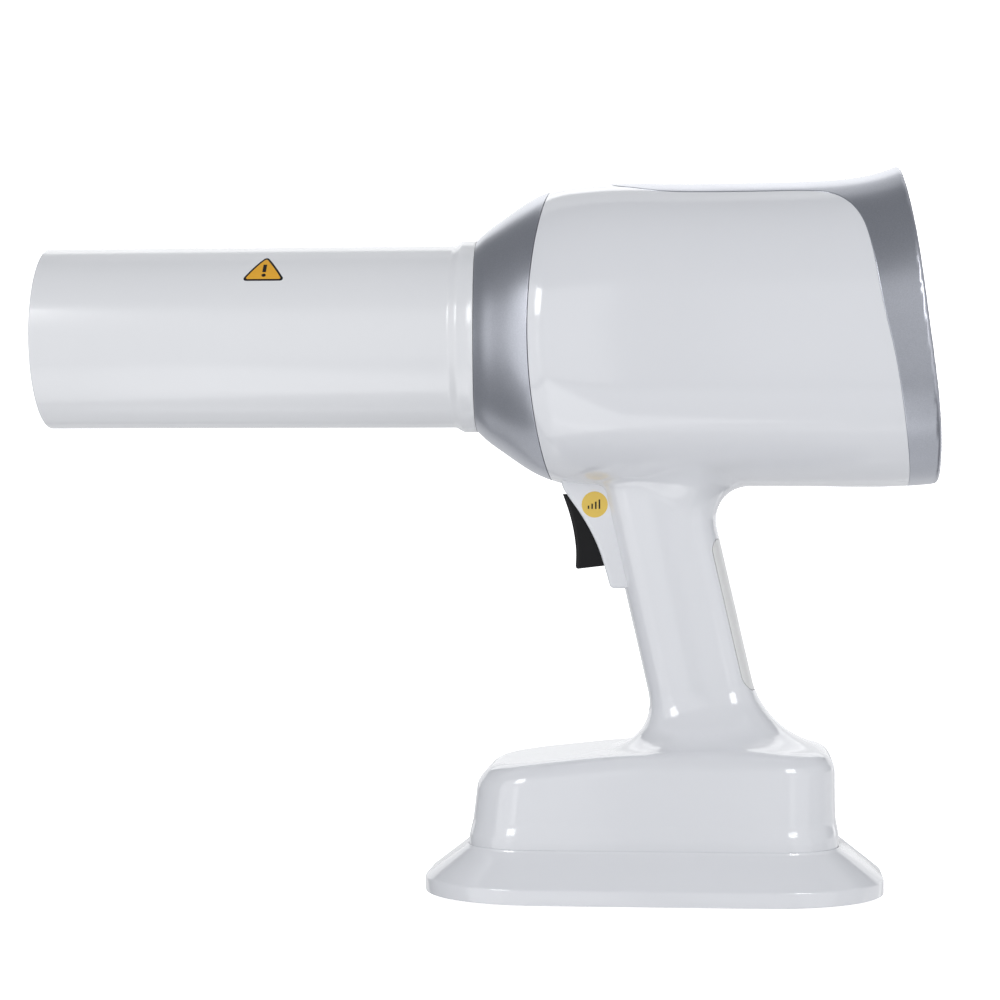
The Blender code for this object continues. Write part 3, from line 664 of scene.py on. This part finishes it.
AMBER = moulded("label_amber", (0.86, 0.43, 0.02), 0.5, 0.0, 600.0, 0.00001, 0.08)
INK = moulded("label_ink", (0.015, 0.015, 0.016), 0.45, 0.0, 600.0, 0.00001, 0.2)
MARK = moulded("key_mark", (0.06, 0.07, 0.09), 0.5, 0.0, 600.0, 0.00001, 0.2)
PAD = moulded("pad_rubber", (0.03, 0.03, 0.032), 0.8, 0.0, 700.0, 0.0002, 0.2)
SILVER = silver_paint()
STEEL = brushed("steel_brushed", (0.6, 0.6, 0.62))
GLOW = lit_marks()
for black in (BLACK_GLOSS, INK):
    black.node_tree.nodes["Principled BSDF"].inputs["Specular IOR Level"].default_value = 0.2


def cad_materials():
    """A finish for every CAD node that stays in view or shows at a pose."""
    board = moulded("board_green", (0.015, 0.12, 0.05), 0.4, 0.1, 500.0, 0.00005, 0.3)
    return {
        "board": board, "steel": STEEL, "black_plastic": BLACK_TEXTURED, "pad_rubber": PAD,
        "lead": brushed("lead_sheet", (0.2, 0.21, 0.23), 0.55),
        "aluminium": brushed("aluminium_cast", (0.7, 0.71, 0.73), 0.4),
        "copper": brushed("copper_rod", (0.7, 0.33, 0.18), 0.3),
        "gold": brushed("gold_plate", (0.85, 0.6, 0.24), 0.22),
        "winding": brushed("enamelled_wire", (0.42, 0.17, 0.06), 0.4),
        "cell_wrap": moulded("cell_wrap", (0.04, 0.16, 0.42), 0.3, 0.2),
        "display": moulded("display_module", (0.1, 0.16, 0.24), 0.3),
        "tube_glass": clear_glass("tube_glass", (0.8, 0.88, 0.9)),
        "white_plastic": WHITE, "cone_white": CONE_WHITE, "silver_paint": SILVER,
        "trigger_black": BLACK_GLOSS, "key_rubber": KEY_SOFT, "fascia": FASCIA,
        "screen_glass": SCREEN, "strap_rubber": STRAP,
    }


def dress_cad_nodes():
    finishes = cad_materials()
    for part in frame["record"]["subparts"]:
        node = frame["nodes"][part["node"]]
        node.data.materials.clear()
        node.data.materials.append(finishes[part["material_slot"]])


# ---------------- housing pieces

def white_side(p):
    """Positive on the white shells: behind the collar's seam, off the silver, clear of the trigger."""
    half_width, middle_z, half_height, rear_x = 6.6, 128.0, 15.0, -2.0
    outside = np.minimum(front_seam(p) - CUT, -silver_side(p) - CUT)
    window = np.maximum(np.abs(p[:, 1]) - half_width, np.abs(p[:, 2] - middle_z) - half_height)
    return np.minimum(outside, np.maximum(window, p[:, 0] - rear_x))


def shells():
    """The left half is meshed and cut; the right half is its mirror image."""
    low = (-68.0, -58.0, BASE_BOTTOM - 2.0)
    points, faces = surface_net(house, low, (104.0, 2.0, bezel_top + 2.0), STEP)
    for keep in (lambda p: p[:, 2] - BASE_BOTTOM + 0.1 - EDGE, lambda p: -0.03 - EDGE - p[:, 1], white_side,
                 lambda p: -strap_side(p) - CUT):
        points, faces = trim(house, points, faces, keep)
    for side, flip in (("left", 1.0), ("right", -1.0)):
        mesh = skin_mesh(f"{side}_shell_skin", house, points * (1.0, flip, 1.0), faces.copy())
        new_object(f"{side}_shell_skin", mesh, "handset", WHITE, [f"shell_{side}"])


def ring_end(p):
    """The cone's ring ends on a slightly bowed line; positive behind it."""
    return p[:, 0] - RING_END - RING_BOW * (1 - ((p[:, 2] - AXIS_Z) / RING_RADIUS) ** 2)


def collar():
    """The silver collar between the cone's ring and the white shells."""
    low, high = (RING_END - 3.0, -56.0, AXIS_Z - 56.0), (-33.0, 56.0, AXIS_Z + 56.0)
    points, faces = surface_net(drum, low, high, 1.1)
    points, faces = trim(drum, points, faces, lambda p: ring_end(p) - CUT)
    points, faces = trim(drum, points, faces, lambda p: -front_seam(p) - CUT)
    mesh = skin_mesh("front_collar_skin", drum, points, faces)
    new_object("front_collar_skin", mesh, "handset", SILVER, ["front_collar"])


def bezel():
    """The silver bezel with its crown tongue and a rounded rim round the rear panel."""
    rim_radius, rim_width = 1.4, 3.1

    def field(x, y, z):
        return round_cut(drum(x, y, z), rear_plane(x, z), rim_radius)
    points, faces = surface_net(field, (-24.0, -57.0, 140.0), (106.0, 57.0, bezel_top + 3.0), 1.25)
    points, faces = trim(field, points, faces, lambda p: silver_side(p) - CUT)
    points, faces = trim(field, points, faces, lambda p: drum(*p.T) + rim_width)
    mesh = skin_mesh("rear_bezel_skin", field, points, faces, thickness=2.6, edge=0.4)
    new_object("rear_bezel_skin", mesh, "handset", SILVER, ["rear_bezel"])


def strap():
    """The soft strip lies flush in the back of the grip."""
    low, high = strap_low - 6.0, strap_high + 6.0
    low[1], high[1] = -GRIP_HALF - 0.6, GRIP_HALF + 0.6
    points, faces = surface_net(house, low, high, 1.0)
    points, faces = trim(house, points, faces, lambda p: strap_side(p) - CUT)
    mesh = skin_mesh("grip_strap_skin", house, points, faces, thickness=1.8)
    new_object("grip_strap_skin", mesh, "handset", STRAP, ["grip_strap"])


def skin_point(x, z):
    """Where the right shell's surface lies, and its outward direction."""
    y = np.linspace(8.0, 60.0, 2000)
    y = y[np.argmax(house(np.full(len(y), x), y, np.full(len(y), z)) > 0)]
    point = settle(house, np.array([[x, y, z]]))
    return point[0], unit(steepness(house, point))[0]


def screws():
    """Countersunk screws with a cross recess, seated in the right shell."""
    head_radius, long, thin = 2.5, 1.5, 0.26
    for number in range(1, 5):
        x, _, z = sum(corners(f"shell_screw_{number}")) / 2
        point, out = skin_point(x, z)
        turn = Vector(out).to_track_quat("Z", "Y").to_matrix()

        def place(a, b, height):
            return point + np.array(turn @ Vector((a, b, height)))
        head = slab("head", arc(0, 0, head_radius, 0, 345, 23), -1.4, 0.25, 0.3, place)
        slots = [slab("slot", [(w, h), (-w, h), (-w, -h), (w, -h)], -0.5, 1.0, 0.0, place)
                 for w, h in ((long, thin), (thin, long))]
        mesh = carve(head, slots)
        new_object(f"screw_head_{number}", mesh, "handset", STEEL, [f"shell_screw_{number}"])


# ---------------- cone

def cone():
    """The open beam cone and the ring at its root, whose end follows the collar's surface."""
    inner = CONE_RADIUS - 2.2
    flare_start, flare_end = -72.6, -68.4
    profile = [(CONE_TIP + 0.9, inner), (CONE_TIP + 0.3, inner + 0.3)]
    profile += arc(CONE_TIP + 0.8, CONE_RADIUS - 0.8, 0.8, 180, 90, 6)
    profile += [(-110.0, CONE_RADIUS), (flare_start - 0.8, CONE_RADIUS)]
    profile += [(x, CONE_RADIUS + RING_STEP * float(ease(flare_start, flare_end, x)))
                for x in np.linspace(flare_start, flare_end, 15)]
    profile += [(flare_end + 0.8, RING_RADIUS), (RING_END - 1.4, RING_RADIUS), (RING_END - 0.3, RING_RADIUS),
                (RING_END + 0.03, RING_RADIUS - 0.15), (RING_END + 0.03, inner)]
    rings = turned_rings(profile)
    for ring in rings[-3:-1]:
        for i, (x, y, z) in enumerate(ring):
            radius = math.hypot(y, z - AXIS_Z)
            x += RING_BOW * (y / RING_RADIUS) ** 2
            grown = max(1.0, (float(flank_width(x)) + radius - RING_RADIUS) / radius)
            ring[i] = (x, y * grown, AXIS_Z + (z - AXIS_Z) * grown)
    mesh = loft_mesh("cone_tube_skin", rings, closed=True)
    new_object("cone_tube_skin", mesh, "handset", CONE_WHITE, ["cone_tube"])


# ---------------- trigger group

def smooth_outline(points, spacing=0.8):
    """A closed outline whose runs are smooth; a repeated point marks a corner."""
    runs, run = [], [points[0]]
    for point in points[1:] + [points[0]]:
        if point == run[-1]:
            runs.append(run)
            run = [point]
        else:
            run.append(point)
    runs.append(run)
    line = []
    for run in runs:
        if len(run) < 2:
            continue
        run = np.array(run, float)
        length = np.concatenate([[0], np.cumsum(np.hypot(*np.diff(run, axis=0).T))])
        count = max(2, int(length[-1] / spacing))
        along = np.linspace(0, length[-1], count + 1)[:-1]
        if len(run) == 2:
            line += [tuple(run[0] + (run[1] - run[0]) * a / length[-1]) for a in along]
        else:
            line += list(zip(*(spline(list(zip(length, run[:, k])))(along) for k in (0, 1))))
    return line


def upright(x, z, y):
    return x, y, z


def trigger():
    """A blade with a hollow front for the finger, between the guard's cheeks."""
    front = [(-33.0, 143.2), (-31.2, 138.2), (-29.6, 132.5), (-28.6, 127.0), (-28.15, 121.5), (-28.3, 117.4)]
    foot = [(-28.3, 117.4), (-28.2, 116.6), (-27.5, 116.1), (-27.5, 116.1), (-16.6, 117.4)]
    back = [(-16.6, 117.4), (-16.2, 123.5), (-15.6, 134.0), (-14.8, 139.0), (-14.8, 139.0),
            (-16.2, 143.2), (-16.2, 143.2)]
    half, radius = 6.1, 1.2
    mesh = slab("trigger_blade", smooth_outline(front + foot + back), -half, half, radius, upright, radius)
    new_object("trigger_blade", mesh, "trigger", BLACK_GLOSS, ["trigger"])


def guard():
    """The raised white cheeks on both sides of the trigger and the web that joins them below it."""
    cheek = smooth_outline(
        [(-33.6, 149.0), (-32.4, 145.0), (-31.0, 142.8), (-29.2, 140.2), (-27.2, 137.4), (-24.9, 133.8),
         (-22.0, 128.6), (-19.4, 122.6), (-17.5, 116.6), (-16.0, 111.2), (-16.0, 111.2), (-15.5, 109.9),
         (-14.4, 109.3), (-14.4, 109.3), (-8.0, 109.3), (-8.0, 109.3), (-8.6, 116.0), (-10.0, 124.0),
         (-12.0, 133.0), (-13.0, 149.0), (-13.0, 149.0)])
    web = smooth_outline([(-16.6, 112.6), (-16.0, 111.0), (-15.4, 109.8), (-14.4, 109.4), (-14.4, 109.4),
                          (-8.4, 109.4), (-8.4, 109.4), (-8.8, 112.6), (-8.8, 112.6)])
    inner, web_half = 6.5, 6.7
    outer_round, inner_round, web_round = 1.1, 0.3, 0.1
    for name, outline, low, high, above, under in (
            ("guard_left", cheek, -GUARD_HALF, -inner, inner_round, outer_round),
            ("guard_right", cheek, inner, GUARD_HALF, outer_round, inner_round),
            ("guard_web", web, -web_half, web_half, web_round, web_round)):
        mesh = slab(name, outline, low, high, above, upright, under)
        new_object(name, mesh, "handset", WHITE, ["trigger_bezel"])


# ---------------- stand

def rounded_ring(x0, x1, half, radius, z, per_corner=16):
    """A rectangle with round corners at a height, from x0 to x1 and to half on each side."""
    points = []
    places = ((x1 - radius, half - radius, 0), (x0 + radius, half - radius, 1),
              (x0 + radius, radius - half, 2), (x1 - radius, radius - half, 3))
    for cx, cy, quarter in places:
        for i in range(per_corner + 1):
            turn = (quarter + i / per_corner) * TAU / 4
            points.append((cx + radius * math.cos(turn), cy + radius * math.sin(turn), z))
    return points


def stand():
    """The flared foot: upright edge, skirt, flat lip and the pocket for the handset's boss."""
    edge_x, edge_y, edge_corner = stand_high[0], stand_high[1], 42.0
    top_x, top_y, top_corner = BASE_REAR + 0.6, BASE_HALF + 1.4, 22.9
    low, skirt_foot, bend, turn = stand_low[2], 6.8, 1.6, 50

    def outer(share, inset, z):
        x = edge_x + (top_x - edge_x) * share - inset
        y = edge_y + (top_y - edge_y) * share - inset
        return rounded_ring(-x, x, y, edge_corner + (top_corner - edge_corner) * share - inset, z)
    rings = [outer(0, 2.4, 5.6), outer(0, 2.4, low + 0.3), outer(0, 2.1, low), outer(0, 0.5, low),
             outer(0, 0.15, low + 0.15), outer(0, 0.0, low + 0.5), outer(0, 0.0, skirt_foot - 0.9)]
    for a, b in arc(-bend, skirt_foot - 0.9, bend, 0, turn, 6):
        rings.append(outer(0, -a, b))
    start = rings[-1][0][2]
    first = bend * (1 - math.cos(math.radians(turn))) / (edge_x - top_x)
    for share in (0.25, 0.5, 0.75, 0.93):
        rings.append(outer(share, 0.0, start + (STAND_TOP - start) * (share - first) / (1 - first)))
    for inset, rise in ((-0.3, 0.0), (-0.25, 0.3), (-0.1, 0.48), (0.1, 0.48), (0.24, 0.3), (0.25, 0.0)):
        rings.append(outer(1.0, inset, STAND_TOP + rise))
    pocket_x, pocket_y, corner, bottom = 55.0, 30.5, 10.5, 11.0
    for grow, z in ((0.4, STAND_TOP), (0.0, STAND_TOP - 0.4), (0.0, bottom + 0.4), (-0.4, bottom)):
        rings.append(rounded_ring(-pocket_x - grow, pocket_x + grow, pocket_y + grow, corner + grow, z))
    mesh = loft_mesh("stand_cover", rings, sharp=28.0)
    inlet_low, inlet_high = corners("charge_inlet")
    middle = (inlet_low[2] + inlet_high[2]) / 2
    window = [(a, middle + b) for a, b in rounded_outline(4.9, 1.9, 0.6)]
    tools = [slab("window", window, inlet_low[0] - 1.0, inlet_high[0] + 9.0, 0.0, lambda a, b, h: (h, a, b))]
    for number in (1, 2):
        y = sum(corners(f"stand_contact_{number}"))[1] / 2
        tools.append(slab("hole", arc(0, y, 1.6, 0, 340, 17), 8.0, 14.0, 0.0, lambda a, b, h: (a, b, h)))
    mesh = carve(mesh, tools)
    new_object("stand_cover", mesh, "stand", WHITE, ["stand_shell"])


# ---------------- rear panel

KEYS = {"key_power": (0.0, -38.5, 4.0), "key_up": (0.0, -12.5, 4.2), "key_down": (0.0, -27.0, 4.2),
        "key_mode": (-17.5, -19.8, 5.0), "key_patient": (17.5, -19.8, 5.0)}   # across, up, half height
KEY_TOP, FASCIA_TOP, SCREEN_TOP = -1.5, -2.5, -2.35     # heights against the bezel's rim
SCREEN_UP = 17.0


def rounded_outline(half_a, half_b, radius, per_corner=6):
    return [(a, b) for a, b, _ in rounded_ring(-half_a, half_a, half_b, radius, 0.0, per_corner)]


def on_panel(across, up, out):
    """A place on the leaning rear face: left to right, upwards and outwards."""
    c, s = math.cos(SLANT), math.sin(SLANT)
    return PANEL_X + out * c - up * s, across, PANEL_Z + up * c + out * s


def ring_of_bars(across, up, radius, width, gap):
    """The arc of a power symbol as an outline."""
    outer = arc(across, up, radius, 90 + gap, 450 - gap, 20)
    return outer + arc(across, up, radius - width, 450 - gap, 90 + gap, 20)


def bar(half_a, low, high):
    """The corners of an upright bar on a key."""
    return [(-half_a, low), (half_a, low), (half_a, high), (-half_a, high)]


def key_icon(key, across, up):
    """A small generic symbol on a key."""
    shapes = {
        "key_up": [[(-1.7, -1.0), (1.7, -1.0), (0.0, 1.5)]],
        "key_down": [[(-1.7, 1.0), (0.0, -1.5), (1.7, 1.0)]],
        "key_power": [ring_of_bars(0.0, 0.0, 1.9, 0.5, 35), bar(0.25, 0.3, 2.3)],
        "key_mode": [bar(2.2, b, b + 0.5) for b in (-1.6, -0.25, 1.1)],
        "key_patient": [arc(0, 1.4, 0.95, 0, 340, 17), arc(0, -2.0, 1.9, 0, 180, 12)],
    }
    for number, shape in enumerate(shapes[key]):
        name, outline = f"{key}_icon_{number + 1}", [(across + a, up + b) for a, b in shape]
        mesh = slab(name, outline, KEY_TOP - 0.2, KEY_TOP + 0.06, 0.0, on_panel)
        new_object(name, mesh, key, MARK, ())


def rear_panel():
    """Fascia, screen and keys on the rear face."""
    turns = np.arange(96) * TAU / 96
    half_a, half_b, power = 48.5, 53.2, 2.15
    fascia = [(half_a * math.copysign(abs(math.cos(t)) ** (2 / power), math.cos(t)),
               half_b * math.copysign(abs(math.sin(t)) ** (2 / power), math.sin(t))) for t in turns]
    mesh = slab("fascia_film", fascia, -5.0, FASCIA_TOP, 0.5, on_panel)
    key_half, gap, pane_a, pane_b, pane_gap = 6.0, 0.3, 27.0, 19.0, 0.2
    tools = []
    for across, up, half in KEYS.values():
        hole = rounded_place(across, up, key_half + gap, half + gap, 2.0 + gap, 6)
        tools.append(slab("key_hole", hole, -9.0, 0.0, 0.0, on_panel))
    hole = rounded_place(0.0, SCREEN_UP, pane_a + pane_gap, pane_b + pane_gap, 3.0 + pane_gap, 6)
    tools.append(slab("screen_hole", hole, -3.7, 0.0, 0.0, on_panel))
    new_object("fascia_film", carve(mesh, tools), "handset", FASCIA, ["control_panel"])
    pane = rounded_place(0.0, SCREEN_UP, pane_a, pane_b, 3.0, 6)
    mesh = slab("screen_glass", pane, -3.65, SCREEN_TOP, 0.4, on_panel)
    new_object("screen_glass", mesh, "handset", SCREEN, ["display_window"])
    for key, (across, up, half) in KEYS.items():
        cap = rounded_place(across, up, key_half, half, 2.0, 6)
        mesh = slab(f"{key}_cap", cap, -6.9, KEY_TOP, 0.9, on_panel)
        new_object(f"{key}_cap", mesh, key, KEY_SOFT, [key])
        key_icon(key, across, up)


def screen_marks():
    """A plain read-out: seven-bar digits, a scale and a battery sign."""
    bars = {"a": (0, 1), "b": (0.5, 0.5), "c": (0.5, -0.5), "d": (0, -1),
            "e": (-0.5, -0.5), "f": (-0.5, 0.5), "g": (0, 0)}
    digit_size, digit_pitch, long, thin = 4.6, 8.2, 1.9, 0.42
    for place, lit in enumerate(("abcdef", "abged", "afgcd")):
        for segment in lit:
            a, b = bars[segment]
            across, up = -11.5 + digit_pitch * place + digit_size * a, 3.0 + digit_size * b
            glow(f"digit_{place + 1}_{segment}", across, up, *((thin, long) if a else (long, thin)), 0.3)
    glow("digit_dot", -7.4, -1.9, 0.5, 0.5, 0.3)
    for i in range(8):
        glow(f"scale_{i + 1}", -15.0 + 3.4 * i, -10.0, 1.2, 0.7 + 0.28 * i, 0.3)
    glow("battery_sign", 18.5, 13.0, 3.4, 1.5, 0.5)
    glow("battery_tip", 22.4, 13.0, 0.4, 0.7, 0.2)


def rounded_place(across, up, half_a, half_b, radius, per_corner=2):
    return [(across + a, up + b) for a, b in rounded_outline(half_a, half_b, radius, per_corner)]


def glow(name, across, up, half_a, half_b, radius):
    """A lit mark on the screen, placed from the screen's middle."""
    outline = rounded_place(across, SCREEN_UP + up, half_a, half_b, radius)
    mesh = slab(name, outline, SCREEN_TOP - 0.2, SCREEN_TOP + 0.04, 0.0, on_panel)
    new_object(name, mesh, "handset", GLOW, ())


# ---------------- labels

def on_cone(x, along, height):
    """Wraps (x, arc length from the near side's middle) round the beam cone."""
    radius, turn = CONE_RADIUS + height, along / CONE_RADIUS
    return x, -radius * math.cos(turn), AXIS_Z + radius * math.sin(turn)


def rounded_triangle(width, height, radius, rows=15, across=15):
    """Rows of points filling a triangle with round corners, from its foot upwards."""
    half, top = width / 2 - 1.5 * radius, height - 2.4 * radius
    steps = np.linspace(0.0, top, 200)
    made = []
    for b in -radius * 0.999 + (top + 1.998 * radius) * (1 - np.cos(np.linspace(0, TAU / 2, rows))) / 2:
        reach = np.sqrt(np.maximum(radius ** 2 - (b - steps) ** 2, 0.0))
        wide = np.max(np.where(reach > 0, half * (1 - steps / top) + reach, 0.0))
        made.append([(wide * c, b + radius) for c in np.linspace(-1, 1, across)])
    return made


def disc_rows(radius, rows=15, across=15):
    """Rows of points filling a disc about its middle."""
    made = []
    for t in np.linspace(0.02, TAU / 2 - 0.02, rows):
        made.append([(radius * math.sin(t) * c, -radius * math.cos(t)) for c in np.linspace(-1, 1, across)])
    return made


def bar_rows(width, height, rows=4):
    """Rows of points filling a bar that stands on its foot."""
    return [[(-width / 2, b), (0.0, b), (width / 2, b)] for b in np.linspace(0.0, height, rows)]


def on_guard(x, z, height):
    """A place on the guard's left cheek."""
    return x, -GUARD_HALF - height, z


def label_piece(name, rows, across, up, low, high, place, material):
    """One layer of a label: rows moved to (across, up), from low to high off the surface."""
    moved = [[(a + across, b + up) for a, b in row] for row in rows]
    new_object(name, patch(name, moved, low, high, place), "handset", material, ())


def labels():
    """A plain warning triangle on the cone and a plain round label by the trigger."""
    across, foot = -138.65, math.radians(34.6) * CONE_RADIUS
    layers = (("border", rounded_triangle(15.3, 13.0, 1.0), 0.0, -0.05, 0.05, INK),
              ("field", rounded_triangle(12.9, 10.9, 0.5), 0.78, 0.0, 0.1, AMBER),
              ("bar", bar_rows(1.3, 4.1), 4.1, 0.05, 0.14, INK),
              ("dot", disc_rows(0.78, 9, 9), 2.55, 0.05, 0.14, INK))
    for name, rows, up, low, high, material in layers:
        label_piece(f"warning_{name}", rows, across, foot + up, low, high, on_cone, material)
    across, middle = -21.1, 139.4
    label_piece("round_label", disc_rows(4.7), across, middle, -0.05, 0.06, on_guard, YELLOW)
    for i, tall in enumerate((1.2, 1.9, 2.6, 3.4)):
        label_piece(f"round_label_bar_{i + 1}", bar_rows(0.55, tall), across - 2.2 + 1.3 * i, middle - 1.6,
                    0.0, 0.12, on_guard, INK)


# ---------------- camera, light and floor

def camera():
    data = bpy.data.cameras.new("camera")
    data.sensor_width = 36.0
    data.lens = 98.9
    data.clip_end = 20.0
    made = add_object("camera", data)
    made.location = (0.031, -0.996, 0.141)
    made.rotation_euler = (math.radians(90.0), 0.0, math.radians(5.0))
    bpy.context.scene.camera = made


def stage():
    """A pale round sweep: a floor that curves up into a wall on every side."""
    floor_radius, bend, wall_top = 2400.0, 600.0, 3200.0
    profile = [(floor_radius, -0.1)] + arc(floor_radius, bend - 0.1, bend, -84, 0, 14)
    profile.append((floor_radius + bend, wall_top))
    rings = [[(r * math.cos(t), r * math.sin(t), z) for t in np.arange(96) * TAU / 96] for r, z in profile]
    mesh = loft_mesh("sweep", rings, caps=(True, False))
    made = add_object("sweep", mesh)
    material, tree, node = shader("paper", (0.94, 0.94, 0.94), 0.9)
    plug(tree, node, {"Emission Color": (1.0, 1.0, 1.0, 1.0), "Emission Strength": 1.1,
                      "Roughness": spread(tree, noise(tree, 30.0), 0.85, 0.95)})
    mesh.materials.append(material)
    made.visible_glossy = made.visible_diffuse = made.visible_shadow = False


def world():
    made = bpy.data.worlds.new("studio")
    made.use_nodes = True
    tree = made.node_tree
    plug(tree, tree.nodes["Background"], {"Color": (0.62, 0.64, 0.68, 1.0), "Strength": 0.42})
    bpy.context.scene.world = made


def card(name, azimuth, elevation, width, height, radiance, distance=2.0, diffuse=True, glossy=True):
    """A soft light panel facing the object, at an azimuth from the front and an elevation, in degrees."""
    middle, turn, rise = Vector((-0.05, 0.0, 0.17)), math.radians(azimuth), math.radians(elevation)
    way = Vector((math.sin(turn) * math.cos(rise), -math.cos(turn) * math.cos(rise), math.sin(rise)))
    data = bpy.data.lights.new(name, "AREA")
    data.shape = "RECTANGLE"
    data.size, data.size_y = width, height
    data.energy = radiance * math.pi * width * height
    made = add_object(name, data)
    made.location = middle + way * distance
    made.rotation_euler = (-way).to_track_quat("-Z", "Y").to_euler()
    made.visible_camera = False
    made.visible_diffuse, made.visible_glossy = diffuse, glossy


def lights():
    """Fills light the surfaces; cards and strips only show as reflections."""
    # name, azimuth, elevation, width, height and brightness
    fills = (("front", 0, 10, 4.0, 2.4, 1.09), ("left", -90, 8, 2.6, 2.2, 0.7),
             ("right", 90, 8, 2.6, 2.2, 0.73), ("back", 180, 10, 4.0, 2.4, 0.7),
             ("top", 0, 85, 3.0, 3.0, 0.22), ("floor", 0, -80, 3.0, 3.0, 0.72))
    for name, *values in fills:
        card(f"{name}_fill", *values, glossy=False)
    cards = (("front_left", -55, 0, 1.35, 2.5, 1.1), ("front", -20, 0, 1.3, 2.5, 0.74),
             ("front_right", 20, 0, 1.3, 2.5, 0.37), ("right_front", 55, 0, 1.3, 2.5, 0.7),
             ("right", 95, 0, 1.3, 2.5, 0.4), ("right_back_low", 130, -18, 1.3, 1.2, 0.65),
             ("back", 180, 6, 3.4, 0.8, 0.75), ("back_rise", 180, 30, 1.9, 0.95, 1.2),
             ("back_low", 180, -20, 2.6, 1.0, 0.5),
             ("back_high", 180, 50, 1.6, 1.2, 0.45), ("right_high", 135, 50, 1.6, 1.2, 0.25),
             ("floor_left", -45, -55, 1.6, 1.4, 1.2), ("floor_front", 0, -55, 1.6, 1.4, 0.5),
             ("floor", 0, -90, 1.6, 1.6, 0.5), ("floor_back", -160, -55, 2.6, 1.4, 0.46))
    for name, *values in cards:
        card(f"{name}_card", *values, diffuse=False)
    for name, side in (("left", -1), ("right", 1)):
        card(f"{name}_strip", side * 40, 23, 0.42, 0.48, 7.0, 1.5, diffuse=False)
        card(f"{name}_strip_foot", side * 40, -4, 0.25, 0.3, 0.6, 1.5, diffuse=False)


def main():
    camera()
    dress_cad_nodes()
    shells()
    screws()
    collar()
    bezel()
    strap()
    cone()
    trigger()
    guard()
    stand()
    rear_panel()
    screen_marks()
    labels()
    stage()
    world()
    lights()
    bpy.context.scene.view_settings.view_transform = "Standard"


main()
